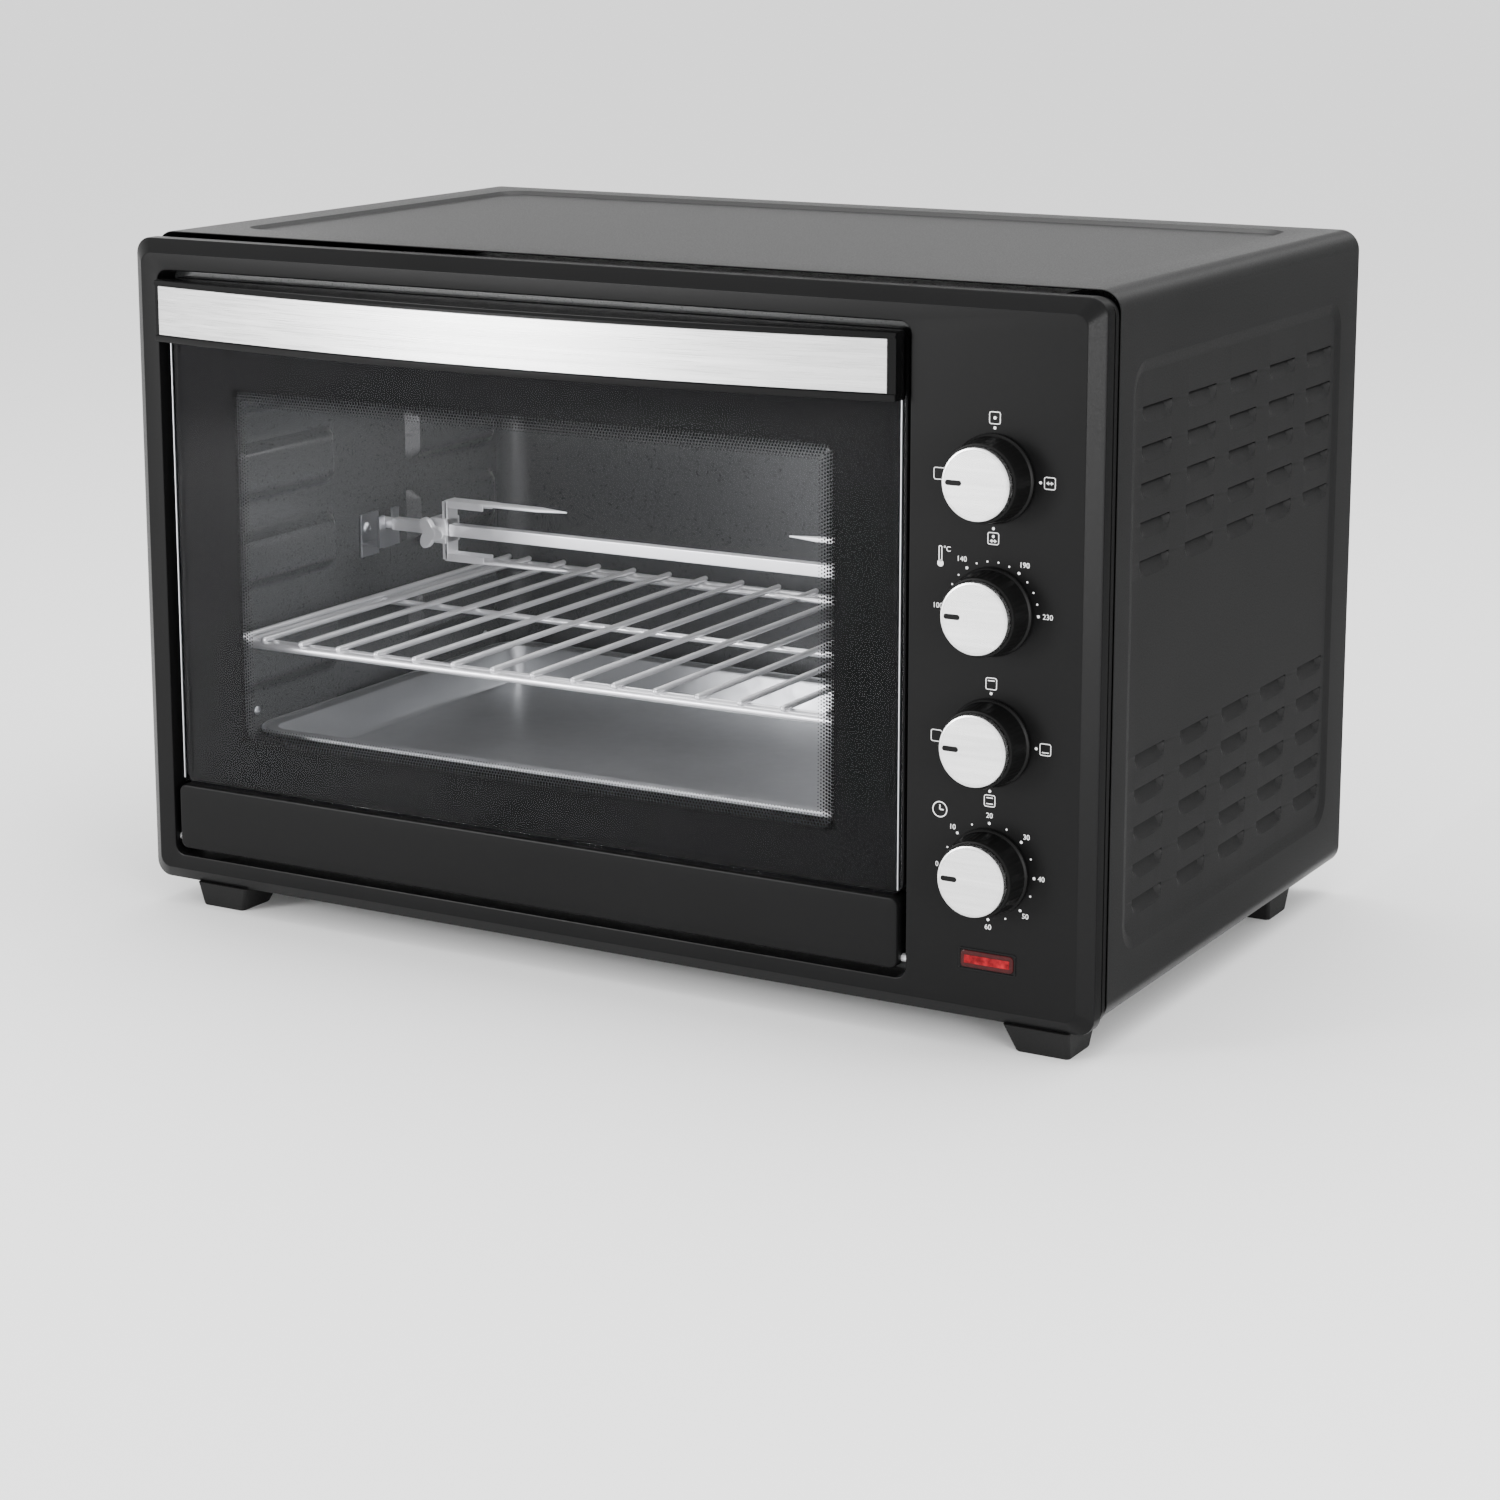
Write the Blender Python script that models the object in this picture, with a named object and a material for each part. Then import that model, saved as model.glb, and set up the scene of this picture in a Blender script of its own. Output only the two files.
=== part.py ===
"""Counter-top rotisserie oven, built as the separate pieces it comes apart into.

Every length is in metres. Pieces are drawn from the lower left corner of the fascia's
front face: x runs to the right, y to the back and z up. The empty body_corner carries
that corner to its place, so that the whole oven stands on z = 0 with its middle over
the origin.
"""
import math

import bmesh
import bpy
from mathutils import Matrix, Vector

# Overall sizes
WIDTH = 0.580
FASCIA_HEIGHT = 0.3625
BODY_DEPTH = 0.349
HANDLE_REACH = 0.0275
FOOT_HEIGHT = 0.0145
GAP = 0.0003

# Fascia: a pressed frame with a chamfered rim and a flange that the cover slips over
CHAMFER = 0.0077
CHAMFER_DEPTH = 0.006
RIM_DEPTH = 0.014
FLANGE_INSET = 0.0035
FLANGE_WALL = 0.0015
FLANGE_END = 0.030
FACE_SHEET = 0.0022
OPENING_LEFT, OPENING_RIGHT = 0.0184, 0.4794
OPENING_BOTTOM, OPENING_TOP = 0.0159, 0.3457
OPENING_LIP = 0.002
OPENING_DEPTH = 0.015

# Cover, base and rear panel
COVER_LEFT, COVER_RIGHT = 0.0007, 0.5793
COVER_BOTTOM, COVER_TOP = 0.0019, 0.3645
COVER_FRONT = 0.023
COVER_RADIUS = 0.011
COVER_SHEET = 0.001
COVER_HEM = 0.018

# Cavity
CAVITY_LEFT, CAVITY_RIGHT = 0.034, 0.464
CAVITY_FRONT, CAVITY_BACK = 0.0173, 0.322
CAVITY_FLOOR, CAVITY_ROOF = 0.028, 0.336
WALL = 0.001
SHELF_REACH = 0.0075
SHELF_COLUMNS = ((0.030, 0.133), (0.207, 0.300))
SHELF_ROWS = ((0.056, 0.0807), (0.094, 0.133), (0.158, 0.195), (0.215, 0.240), (0.257, 0.285))
ELEMENT_RADIUS = 0.004
ELEMENT_PLACES = {"upper_front": (0.090, 0.312), "upper_rear": (0.245, 0.312),
                  "lower_front": (0.090, 0.042), "lower_rear": (0.245, 0.042)}

# Door
DOOR_GAP = 0.0042
DOOR_LEFT, DOOR_RIGHT = OPENING_LEFT + DOOR_GAP, OPENING_RIGHT - DOOR_GAP
DOOR_BOTTOM, DOOR_TOP = OPENING_BOTTOM + DOOR_GAP, OPENING_TOP - DOOR_GAP
DOOR_BACK = 0.014
GLASS_FRONT, GLASS_BACK = 0.002, 0.006
TRIM_TOP = 0.0572
WINDOW = (0.060, 0.438, 0.082, 0.286)
HINGE = Vector((0.0, 0.006, 0.025))
HINGE_PIN_RADIUS = 0.0022

# Handle: a hollow grip, open below, that bows forward between its ends
HANDLE_BOTTOM = 0.3074
HANDLE_BACK = GLASS_FRONT - GAP
HANDLE_END_REACH = 0.0082
HANDLE_WALL = 0.0032
STRIP_MARGIN = 0.0041
STRIP_SHEET = 0.0012
BOW_STEPS = 16

# Knobs
KNOB_X = 0.5249
KNOB_HEIGHTS = {"function": 0.2734, "temperature": 0.2083, "heat": 0.1432, "timer": 0.0781}
KNOB_RADIUS, KNOB_NECK_RADIUS = 0.0220, 0.0196
KNOB_FRONT = -0.0172
CAP_RADIUS, CAP_FRONT = 0.0180, -0.0208
SHAFT_RADIUS = 0.003
INDICATOR = (0.5101, 0.5391, 0.0275, 0.0365)

# Rack and tray
RACK_PITCH, RACK_BARS = 0.0256, 16
RACK_MIDDLE = (CAVITY_LEFT + CAVITY_RIGHT) / 2
RACK_SIDE = 0.211
RACK_Z = 0.1333
TRAY_RIM = (0.039, 0.459, 0.040, 0.310)
TRAY_TOP, TRAY_FLOOR = 0.0825, 0.060
TRAY_CORNER = 0.022

# Spit
SPIT = Vector((0.0, 0.165, 0.182))
ROD_HALF = 0.0035
ROD_WAY = ROD_HALF + 0.0004
HUB_HALF = 0.0075
ROD_LEFT, ROD_SQUARE, ROD_RIGHT = 0.044, 0.056, 0.474
FORK_REACH = 0.017
FAN = Vector((0.0, 0.245, 0.255))

FEET = {"foot_front_left": (0.0300, 0.0585, -1, 0.008, 0.034, 0.0315, 0.0375),
        "foot_front_right": (0.5365, 0.5662, 1, 0.008, 0.034, 0.0315, 0.0375),
        "foot_rear_left": (0.0300, 0.0585, -1, 0.276, 0.302, 0.282, 0.296),
        "foot_rear_right": (0.5365, 0.5662, 1, 0.276, 0.302, 0.282, 0.296)}

BLACK_PAINT = ((0.035, 0.035, 0.036), 0.45, 0.0)
GLOSS_BLACK = ((0.020, 0.020, 0.021), 0.25, 0.0)
ENAMEL = ((0.085, 0.088, 0.092), 0.40, 0.3)
BRUSHED_STEEL = ((0.62, 0.62, 0.62), 0.30, 1.0)
CHROME = ((0.78, 0.78, 0.80), 0.12, 1.0)
ZINC = ((0.50, 0.51, 0.53), 0.40, 1.0)
DARK_PLASTIC = ((0.03, 0.03, 0.03), 0.55, 0.0)
CREAM_PLASTIC = ((0.70, 0.68, 0.60), 0.50, 0.0)
SMOKED_GLASS = ((0.02, 0.02, 0.022), 0.05, 0.0)
RED_LENS = ((0.45, 0.01, 0.012), 0.15, 0.0)


# ---------------------------------------------------------------- helpers
def new_object(name, bm, finish, parent, sharp=35.0):
    """Put a finished bmesh into the scene, with its material, under its empty."""
    bmesh.ops.recalc_face_normals(bm, faces=bm.faces)
    mesh = bpy.data.meshes.new(name)
    bm.to_mesh(mesh)
    bm.free()
    mesh.transform(Matrix.Translation(-parent["anchor"]))
    mesh.shade_smooth()
    mesh.set_sharp_from_angle(angle=math.radians(sharp))
    piece = bpy.data.objects.new(name, mesh)
    bpy.context.scene.collection.objects.link(piece)
    piece.parent = parent["empty"]
    if finish is None:
        piece.hide_render = True
        piece.display_type = "WIRE"
    else:
        mesh.materials.append(make_material(name, finish))
    return piece


def make_material(name, finish):
    """One Principled material for one piece."""
    colour, roughness, metallic = finish
    material = bpy.data.materials.new(name + "_finish")
    material.use_nodes = True
    shader = material.node_tree.nodes["Principled BSDF"]
    shader.inputs["Base Color"].default_value = (*colour, 1.0)
    shader.inputs["Roughness"].default_value = roughness
    shader.inputs["Metallic"].default_value = metallic
    return material


def make_empty(name, anchor, above=None):
    """An empty at a point given from the fascia's corner, with its pieces hung on it."""
    empty = bpy.data.objects.new(name, None)
    bpy.context.scene.collection.objects.link(empty)
    if above is not None:
        empty.parent = above["empty"]
        empty.location = anchor - above["anchor"]
    return {"empty": empty, "anchor": anchor}


def skin(rings, closed=False):
    """Join rings of equally many points; the ends are capped, or joined if closed."""
    bm = bmesh.new()
    loops = [[bm.verts.new(point) for point in ring] for ring in rings]
    pairs = list(zip(loops, loops[1:]))
    if closed:
        pairs.append((loops[-1], loops[0]))
    else:
        bm.faces.new(reversed(loops[0]))
        bm.faces.new(loops[-1])
    for low, high in pairs:
        for k in range(len(low)):
            after = (k + 1) % len(low)
            bm.faces.new((low[k], low[after], high[after], high[k]))
    return bm


def box(low, high, bevel=0.0):
    """A block between two corners, with its edges rounded off if asked."""
    bm = bmesh.new()
    bmesh.ops.create_cube(bm, size=1.0)
    middle = (Vector(low) + Vector(high)) / 2
    size = Vector(high) - Vector(low)
    bmesh.ops.scale(bm, vec=size, verts=bm.verts)
    bmesh.ops.translate(bm, vec=middle, verts=bm.verts)
    if bevel:
        bmesh.ops.bevel(bm, geom=list(bm.edges), offset=bevel, segments=2, profile=0.5,
                        affect="EDGES")
    return bm


def merge(*meshes):
    """Put several bmeshes into one, as separate shells."""
    whole = bmesh.new()
    for bm in meshes:
        part = bpy.data.meshes.new("shell")
        bm.to_mesh(part)
        bm.free()
        whole.from_mesh(part)
        bpy.data.meshes.remove(part)
    return whole


def rounded(left, right, low, high, radius, steps=4):
    """A rounded rectangle as pairs, with the same count of points for any size."""
    corners = ((right - radius, high - radius), (left + radius, high - radius),
               (left + radius, low + radius), (right - radius, low + radius))
    points = []
    for quarter, (u, v) in enumerate(corners):
        for k in range(steps + 1):
            angle = math.pi / 2 * (quarter + k / steps)
            points.append((u + radius * math.cos(angle), v + radius * math.sin(angle)))
    return points


def upright(y, left, right, low, high, radius):
    """A rounded rectangle standing in the plane at y."""
    return [(u, y, v) for u, v in rounded(left, right, low, high, radius)]


def level(z, left, right, front, back, radius):
    """A rounded rectangle lying in the plane at z."""
    return [(u, v, z) for u, v in rounded(left, right, front, back, radius)]


def turned(axis, centre, profile, sides, closed=False):
    """A turned piece: profile gives (place along the axis, radius) pairs."""
    rings = []
    for along, radius in profile:
        ring = []
        for k in range(sides):
            angle = 2 * math.pi * (k + 0.5) / sides
            u, v = radius * math.cos(angle), radius * math.sin(angle)
            if axis == "x":
                ring.append((along, centre.y + u, centre.z + v))
            else:
                ring.append((centre.x + u, along, centre.z + v))
        rings.append(ring)
    return skin(rings, closed)


def boolean(piece, tool, operation):
    """Cut or join with another object, which stays as a wire guide."""
    modifier = piece.modifiers.new(operation.lower(), "BOOLEAN")
    modifier.operation = operation
    modifier.object = tool
    modifier.solver = "EXACT"
    return piece


def cut(piece, bm, parent, name):
    """Cut a bmesh out of a piece."""
    return boolean(piece, new_object(name, bm, None, parent), "DIFFERENCE")


def join(piece, bm, parent, name):
    """Weld a bmesh onto a piece."""
    return boolean(piece, new_object(name, bm, None, parent), "UNION")


# ---------------------------------------------------------------- outer shell
def front_fascia(body):
    """The black front frame round the door, with the control panel at its right."""
    def outline(y, inset, radius):
        return upright(y, inset, WIDTH - inset, inset, FASCIA_HEIGHT - inset, radius)

    def opening(y, grow):
        return upright(y, OPENING_LEFT - grow, OPENING_RIGHT + grow,
                       OPENING_BOTTOM - grow, OPENING_TOP + grow, 0.008 + grow)

    flange_inner = FLANGE_INSET + FLANGE_WALL
    rings = [outline(0.0, CHAMFER, 0.006),
             outline(CHAMFER_DEPTH, 0.0, 0.009),
             outline(RIM_DEPTH, 0.0, 0.009),
             outline(RIM_DEPTH, FLANGE_INSET, 0.008),
             outline(FLANGE_END, FLANGE_INSET, 0.008),
             outline(FLANGE_END, flange_inner, 0.0065),
             outline(CHAMFER_DEPTH + FACE_SHEET, flange_inner, 0.0065),
             outline(FACE_SHEET, CHAMFER + 0.003, 0.005),
             opening(FACE_SHEET, OPENING_LIP),
             opening(OPENING_DEPTH, OPENING_LIP),
             opening(OPENING_DEPTH, 0.0),
             opening(0.0, 0.0)]
    fascia = new_object("front_fascia", skin(rings, closed=True), GLOSS_BLACK, body)
    holes = [turned("y", Vector((KNOB_X, 0, z)), ((-0.001, 0.0045), (0.004, 0.0045)), 16)
             for z in KNOB_HEIGHTS.values()]
    left, right, low, high = INDICATOR
    grow = GAP
    holes.append(box((left - grow, -0.001, low - grow), (right + grow, 0.004, high + grow)))
    cut(fascia, merge(*holes), body, "fascia_holes")
    pin_way = turned("x", HINGE, ((0.012, 0.0027), (0.486, 0.0027)), 12)
    cut(fascia, pin_way, body, "fascia_pin_way")


def top_cover(body):
    """One bent sheet over the top and both sides, with its lower edges turned under."""
    def path(inset):
        left, right = COVER_LEFT + inset, COVER_RIGHT - inset
        low, high = COVER_BOTTOM + inset, COVER_TOP - inset
        corner = rounded(left, right, low, high, COVER_RADIUS - inset, 5)
        count = len(corner) // 4
        right_up, left_up = corner[:count], corner[count:2 * count]
        left_low, right_low = corner[2 * count:3 * count], corner[3 * count:]
        start = (COVER_RIGHT - COVER_HEM, low)
        end = (COVER_LEFT + COVER_HEM, low)
        return [start] + right_low + right_up + left_up + left_low + [end]

    section = path(0.0) + path(COVER_SHEET)[::-1]
    rings = [[(u, y, v) for u, v in section] for y in (COVER_FRONT, BODY_DEPTH)]
    new_object("top_cover", skin(rings), BLACK_PAINT, body)


def base_pan(body):
    """The floor sheet that the feet are fixed to, with its edges turned up."""
    left, right = COVER_LEFT + COVER_HEM + GAP, COVER_RIGHT - COVER_HEM - GAP
    front, back, lip = FLANGE_END + 0.0005, 0.345, 0.0012
    rings = [level(COVER_BOTTOM, left, right, front, back, 0.004),
             level(0.012, left, right, front, back, 0.004),
             level(0.012, left + lip, right - lip, front + lip, back - lip, 0.003),
             level(COVER_BOTTOM + lip, left + lip, right - lip, front + lip, back - lip, 0.003)]
    new_object("base_pan", skin(rings), BLACK_PAINT, body)


def rear_panel(body):
    """The back sheet, with the hole that the cord gland sits in."""
    rings = [upright(y, 0.004, WIDTH - 0.004, 0.005, 0.361, 0.009) for y in (0.3454, 0.3464)]
    panel = new_object("rear_panel", skin(rings), BLACK_PAINT, body)
    hole = turned("y", Vector((0.525, 0, 0.060)), ((0.344, 0.0072), (0.348, 0.0072)), 16)
    cut(panel, hole, body, "gland_hole")


def cord_gland(body):
    """The bush in the rear panel that the lead would come out of."""
    profile = ((0.3380, 0.0040), (0.3380, 0.0068), (0.3467, 0.0068), (0.3467, 0.0105),
               (0.3488, 0.0090), (0.3488, 0.0040))
    bm = turned("y", Vector((0.525, 0, 0.060)), profile, 16, closed=True)
    new_object("cord_gland", bm, DARK_PLASTIC, body)


def feet(body):
    """Four moulded feet: upright on the outside, sloping on the other sides."""
    for name, (left, right, side, front, back, neck_front, neck_back) in FEET.items():
        slope = 0.0055
        left_slope, right_slope = (0.001, slope) if side < 0 else (slope, 0.001)
        neck_left, neck_right = left + 0.008, right - 0.008
        rings = [level(-FOOT_HEIGHT, left, right, front, back, 0.002),
                 level(-GAP, left - left_slope, right + right_slope,
                       front - 0.0035, back + 0.0045, 0.002),
                 level(-GAP, neck_left, neck_right, neck_front, neck_back, 0.001),
                 level(COVER_BOTTOM - GAP, neck_left, neck_right, neck_front, neck_back, 0.001)]
        new_object(name, skin(rings), DARK_PLASTIC, body)


# ---------------------------------------------------------------- cavity
def cavity_front_frame(body):
    """The flat enamelled frame round the cavity's mouth, which the door closes on."""
    rings = [upright(0.0160, 0.010, 0.488, 0.009, 0.3525, 0.004),
             upright(0.0170, 0.010, 0.488, 0.009, 0.3525, 0.004),
             upright(0.0170, CAVITY_LEFT, CAVITY_RIGHT, CAVITY_FLOOR, CAVITY_ROOF, 0.003),
             upright(0.0160, CAVITY_LEFT, CAVITY_RIGHT, CAVITY_FLOOR, CAVITY_ROOF, 0.003)]
    new_object("cavity_front_frame", skin(rings, closed=True), ENAMEL, body)


def shelf(side_x, inward, front, back, low, high):
    """One pressed shelf: flat on top, sloping back to the wall below."""
    tip = side_x + inward * SHELF_REACH
    root = side_x - inward * WALL / 2
    section = [(root, low), (root, high), (tip, high), (tip, low + 0.010)]
    return skin([[(u, y, v) for u, v in section] for y in (front, back)])


def cavity_side_wall(body, name, side_x, inward):
    """A side of the cavity, with its pressed shelves and the holes for the elements."""
    outside = side_x - inward * WALL
    wall = new_object(name, box((min(side_x, outside), CAVITY_FRONT, CAVITY_FLOOR + GAP),
                                (max(side_x, outside), CAVITY_BACK - GAP, CAVITY_ROOF - GAP)),
                      ENAMEL, body)
    shelves = [shelf(side_x, inward, front, back, low, high)
               for front, back in SHELF_COLUMNS for low, high in SHELF_ROWS]
    join(wall, merge(*shelves), body, name + "_shelves")
    ways = [turned("x", Vector((0, y, z)), ((side_x - 0.01, 0.005), (side_x + 0.01, 0.005)), 10)
            for y, z in ELEMENT_PLACES.values()]
    if inward < 0:
        ways.append(turned("x", SPIT, ((side_x - 0.01, 0.0085), (side_x + 0.01, 0.0085)), 16))
        for k in range(8):
            angle = 2 * math.pi * k / 8
            spot = FAN + Vector((0, 0.022 * math.cos(angle), 0.022 * math.sin(angle)))
            ways.append(turned("x", spot, ((side_x - 0.01, 0.0055), (side_x + 0.01, 0.0055)), 8))
    cut(wall, merge(*ways), body, name + "_holes")


def cavity_plates(body):
    """The cavity's back, roof and floor."""
    outer_left, outer_right = CAVITY_LEFT - WALL, CAVITY_RIGHT + WALL
    outer_floor, outer_roof = CAVITY_FLOOR - WALL, CAVITY_ROOF + WALL
    new_object("cavity_back_wall", box((outer_left, CAVITY_BACK, outer_floor),
                                       (outer_right, CAVITY_BACK + WALL, outer_roof)), ENAMEL, body)
    new_object("cavity_roof", box((outer_left, CAVITY_FRONT, CAVITY_ROOF),
                                  (outer_right, CAVITY_BACK - GAP, outer_roof)), ENAMEL, body)
    new_object("cavity_floor", box((outer_left, CAVITY_FRONT, outer_floor),
                                   (outer_right, CAVITY_BACK - GAP, CAVITY_FLOOR)), ENAMEL, body)


def heating_elements(body):
    """Four straight tube elements with ceramic ends in the side spaces."""
    profile = ((0.018, 0.0065), (0.029, 0.0065), (0.029, ELEMENT_RADIUS),
               (0.469, ELEMENT_RADIUS), (0.469, 0.0065), (0.480, 0.0065))
    for place, (y, z) in ELEMENT_PLACES.items():
        bm = turned("x", Vector((0, y, z)), profile, 10)
        new_object("heating_element_" + place, bm, ZINC, body)


def spit_bracket(body):
    """The wall tab, arm and notched cradle that carry the spit's free end."""
    y, z = SPIT.y, SPIT.z
    inner = CAVITY_LEFT + GAP
    cradle = [(y - 0.010, z - 0.014), (y + 0.010, z - 0.014), (y + 0.010, z + 0.008),
              (y + 0.0042, z + 0.008), (y + 0.0042, z - ROD_WAY),
              (y - 0.0042, z - ROD_WAY), (y - 0.0042, z + 0.005), (y - 0.010, z + 0.005)]
    bm = skin([[(x, u, v) for u, v in cradle] for x in (0.050, 0.0518)])
    bracket = new_object("spit_bracket", bm, CHROME, body)
    join(bracket, box((inner, y - 0.006, z - 0.0145), (0.051, y + 0.006, z - 0.0125)),
         body, "bracket_arm")
    join(bracket, box((inner, y - 0.012, z - 0.0220), (inner + 0.0018, y + 0.012, z + 0.004)),
         body, "bracket_tab")


# ---------------------------------------------------------------- works behind the panel
def control_works(body):
    """Switches, thermostat, timer and lamp behind the control panel."""
    def block(name, z, half, depth, finish):
        low = (KNOB_X - half, 0.004, z - half)
        high = (KNOB_X + half, 0.004 + depth, z + half)
        new_object(name, box(low, high, 0.002), finish, body)

    block("function_switch", KNOB_HEIGHTS["function"], 0.015, 0.026, CREAM_PLASTIC)
    block("heat_switch", KNOB_HEIGHTS["heat"], 0.015, 0.026, CREAM_PLASTIC)
    block("timer_works", KNOB_HEIGHTS["timer"], 0.022, 0.030, ZINC)
    can = Vector((KNOB_X, 0, KNOB_HEIGHTS["temperature"]))
    profile = ((0.004, 0.017), (0.008, 0.021), (0.022, 0.021), (0.026, 0.015))
    new_object("thermostat", turned("y", can, profile, 20), ZINC, body)
    bell = Vector((KNOB_X, 0, KNOB_HEIGHTS["timer"]))
    profile = ((0.0343, 0.023), (0.0400, 0.021), (0.0440, 0.014), (0.0455, 0.006))
    new_object("timer_bell", turned("y", bell, profile, 20), CHROME, body)
    left, right, low, high = INDICATOR
    lens = box((left, -0.0006, low), (right, 0.010, high), 0.0006)
    new_object("indicator_lens", lens, RED_LENS, body)
    lamp = Vector(((left + right) / 2, 0, (low + high) / 2))
    new_object("indicator_lamp", turned("y", lamp, ((0.0103, 0.004), (0.026, 0.004)), 12),
               CREAM_PLASTIC, body)


def drive_works(body):
    """The geared motor that turns the spit and the motor of the convection fan."""
    y, z = SPIT.y, SPIT.z
    new_object("rotisserie_motor", box((0.4857, y - 0.025, z - 0.025),
                                       (0.525, y + 0.025, z + 0.025), 0.003), ZINC, body)
    profile = ((0.4803, 0.012), (0.484, 0.020), (0.508, 0.020), (0.512, 0.012))
    new_object("fan_motor", turned("x", FAN, profile, 20), ZINC, body)


def hinge_brackets(body):
    """Plates behind the fascia with a bore for each hinge pin."""
    for side, low, high in (("left", 0.0110, 0.0160), ("right", 0.4818, 0.4868)):
        plate = box((low, 0.0026, 0.015), (high, 0.014, 0.036), 0.0008)
        bracket = new_object("hinge_bracket_" + side, plate, ZINC, body)
        bore = turned("x", HINGE, ((low - 0.002, 0.0026), (high + 0.002, 0.0026)), 12)
        cut(bracket, bore, body, "hinge_bore_" + side)


# ---------------------------------------------------------------- door
def door_panels(door):
    """The pressed frame, the glass in front of it and the trim below the glass."""
    left, right, low, high = WINDOW
    wall = 0.0014
    front, inner = GLASS_BACK + GAP, GLASS_BACK + GAP + wall

    def outline(y, inset):
        return upright(y, DOOR_LEFT + inset, DOOR_RIGHT - inset,
                       TRIM_TOP + GAP + inset, DOOR_TOP - inset, 0.006 - inset)

    def window(y, grow):
        return upright(y, left - grow, right + grow, low - grow, high + grow, 0.008 + grow)

    rings = [outline(front, 0.0), outline(DOOR_BACK, 0.0), outline(DOOR_BACK, wall),
             outline(inner, wall), window(inner, wall), window(DOOR_BACK, wall),
             window(DOOR_BACK, 0.0), window(front, 0.0)]
    new_object("door_frame", skin(rings, closed=True), GLOSS_BLACK, door)

    glass = box((DOOR_LEFT + 0.0019, GLASS_FRONT, TRIM_TOP + GAP),
                (DOOR_RIGHT - 0.0010, GLASS_BACK, DOOR_TOP - 0.003), 0.0008)
    new_object("door_glass", glass, SMOKED_GLASS, door)

    def trim(y, inset):
        return upright(y, DOOR_LEFT + inset, DOOR_RIGHT - inset,
                       DOOR_BOTTOM + inset, TRIM_TOP - inset, 0.004 - inset)

    shell = 0.0016
    rings = [trim(-0.0008, 0.0006), trim(0.0, 0.0), trim(DOOR_BACK, 0.0),
             trim(DOOR_BACK, shell), trim(0.0014, shell)]
    lower = new_object("door_bottom_trim", skin(rings), GLOSS_BLACK, door)
    bore = turned("x", HINGE, ((DOOR_LEFT - 0.002, 0.0024), (DOOR_RIGHT + 0.002, 0.0024)), 12)
    cut(lower, bore, door, "trim_pin_bore")


def hinge_pins(door):
    """Steel pins through the ends of the bottom trim into the hinge brackets."""
    for side, low, high in (("left", 0.0115, 0.0300), ("right", 0.4678, 0.4863)):
        profile = ((low, HINGE_PIN_RADIUS), (high, HINGE_PIN_RADIUS))
        new_object("hinge_pin_" + side, turned("x", HINGE, profile, 12), CHROME, door)


def bow(x, set_back):
    """Plan of the handle's front: how far forward its face stands at x."""
    middle, half = (DOOR_LEFT + DOOR_RIGHT) / 2, (DOOR_RIGHT - DOOR_LEFT) / 2
    rise = HANDLE_REACH - HANDLE_END_REACH
    return set_back - HANDLE_END_REACH - rise * (1 - ((x - middle) / half) ** 2)


def bowed(left, right, set_back, back, z):
    """The handle's plan at height z: a bowed front and a straight back."""
    ends = [left + (right - left) * k / BOW_STEPS for k in range(BOW_STEPS + 1)]
    return [(x, bow(x, set_back), z) for x in ends] + [(right, back, z), (left, back, z)]


def bowed_sheet(left, right, front, back, low, high):
    """A bowed strip of even thickness, as a solid."""
    ends = [left + (right - left) * k / BOW_STEPS for k in range(BOW_STEPS + 1)]
    rings = []
    for z in (low, high):
        face = [(x, bow(x, front), z) for x in ends]
        rings.append(face + [(x, bow(x, back), z) for x in reversed(ends)])
    return skin(rings)


def handle(door):
    """The black grip over the top of the glass and the steel strip let into it."""
    end = 0.014
    inside = (DOOR_LEFT + end, DOOR_RIGHT - end, HANDLE_WALL, HANDLE_BACK - HANDLE_WALL)
    outside = (DOOR_LEFT, DOOR_RIGHT, 0.0, HANDLE_BACK)
    rings = [bowed(*outside, DOOR_TOP), bowed(*outside, HANDLE_BOTTOM),
             bowed(*inside, HANDLE_BOTTOM), bowed(*inside, DOOR_TOP - 0.0035)]
    grip = new_object("handle_grip", skin(rings), GLOSS_BLACK, door)
    left, right = DOOR_LEFT + STRIP_MARGIN, DOOR_RIGHT - STRIP_MARGIN
    low, high = HANDLE_BOTTOM + STRIP_MARGIN, DOOR_TOP - STRIP_MARGIN
    pocket = bowed_sheet(left - GAP, right + GAP, -0.004, STRIP_SHEET, low - GAP, high + GAP)
    cut(grip, pocket, door, "strip_pocket")
    strip = bowed_sheet(left, right, 0.0, STRIP_SHEET - GAP, low, high)
    new_object("handle_strip", strip, BRUSHED_STEEL, door)


# ---------------------------------------------------------------- knobs
def knob(holder, name):
    """A knob: grip, metal cap and the spindle that it turns."""
    centre = holder["anchor"]
    grip = ((-0.0140, 0.0033), (-0.0010, 0.0033), (-0.0010, KNOB_RADIUS), (-0.0030, KNOB_RADIUS),
            (KNOB_FRONT, KNOB_NECK_RADIUS))
    new_object(name + "_knob", turned("y", centre, grip, 24), DARK_PLASTIC, holder)
    cap = ((KNOB_FRONT - GAP, CAP_RADIUS), (CAP_FRONT + 0.0008, CAP_RADIUS),
           (CAP_FRONT, CAP_RADIUS - 0.0008))
    new_object(name + "_knob_cap", turned("y", centre, cap, 24), BRUSHED_STEEL, holder)
    spindle = ((-0.0137, SHAFT_RADIUS), (0.0037, SHAFT_RADIUS))
    new_object(name + "_spindle", turned("y", centre, spindle, 12), ZINC, holder)


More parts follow.
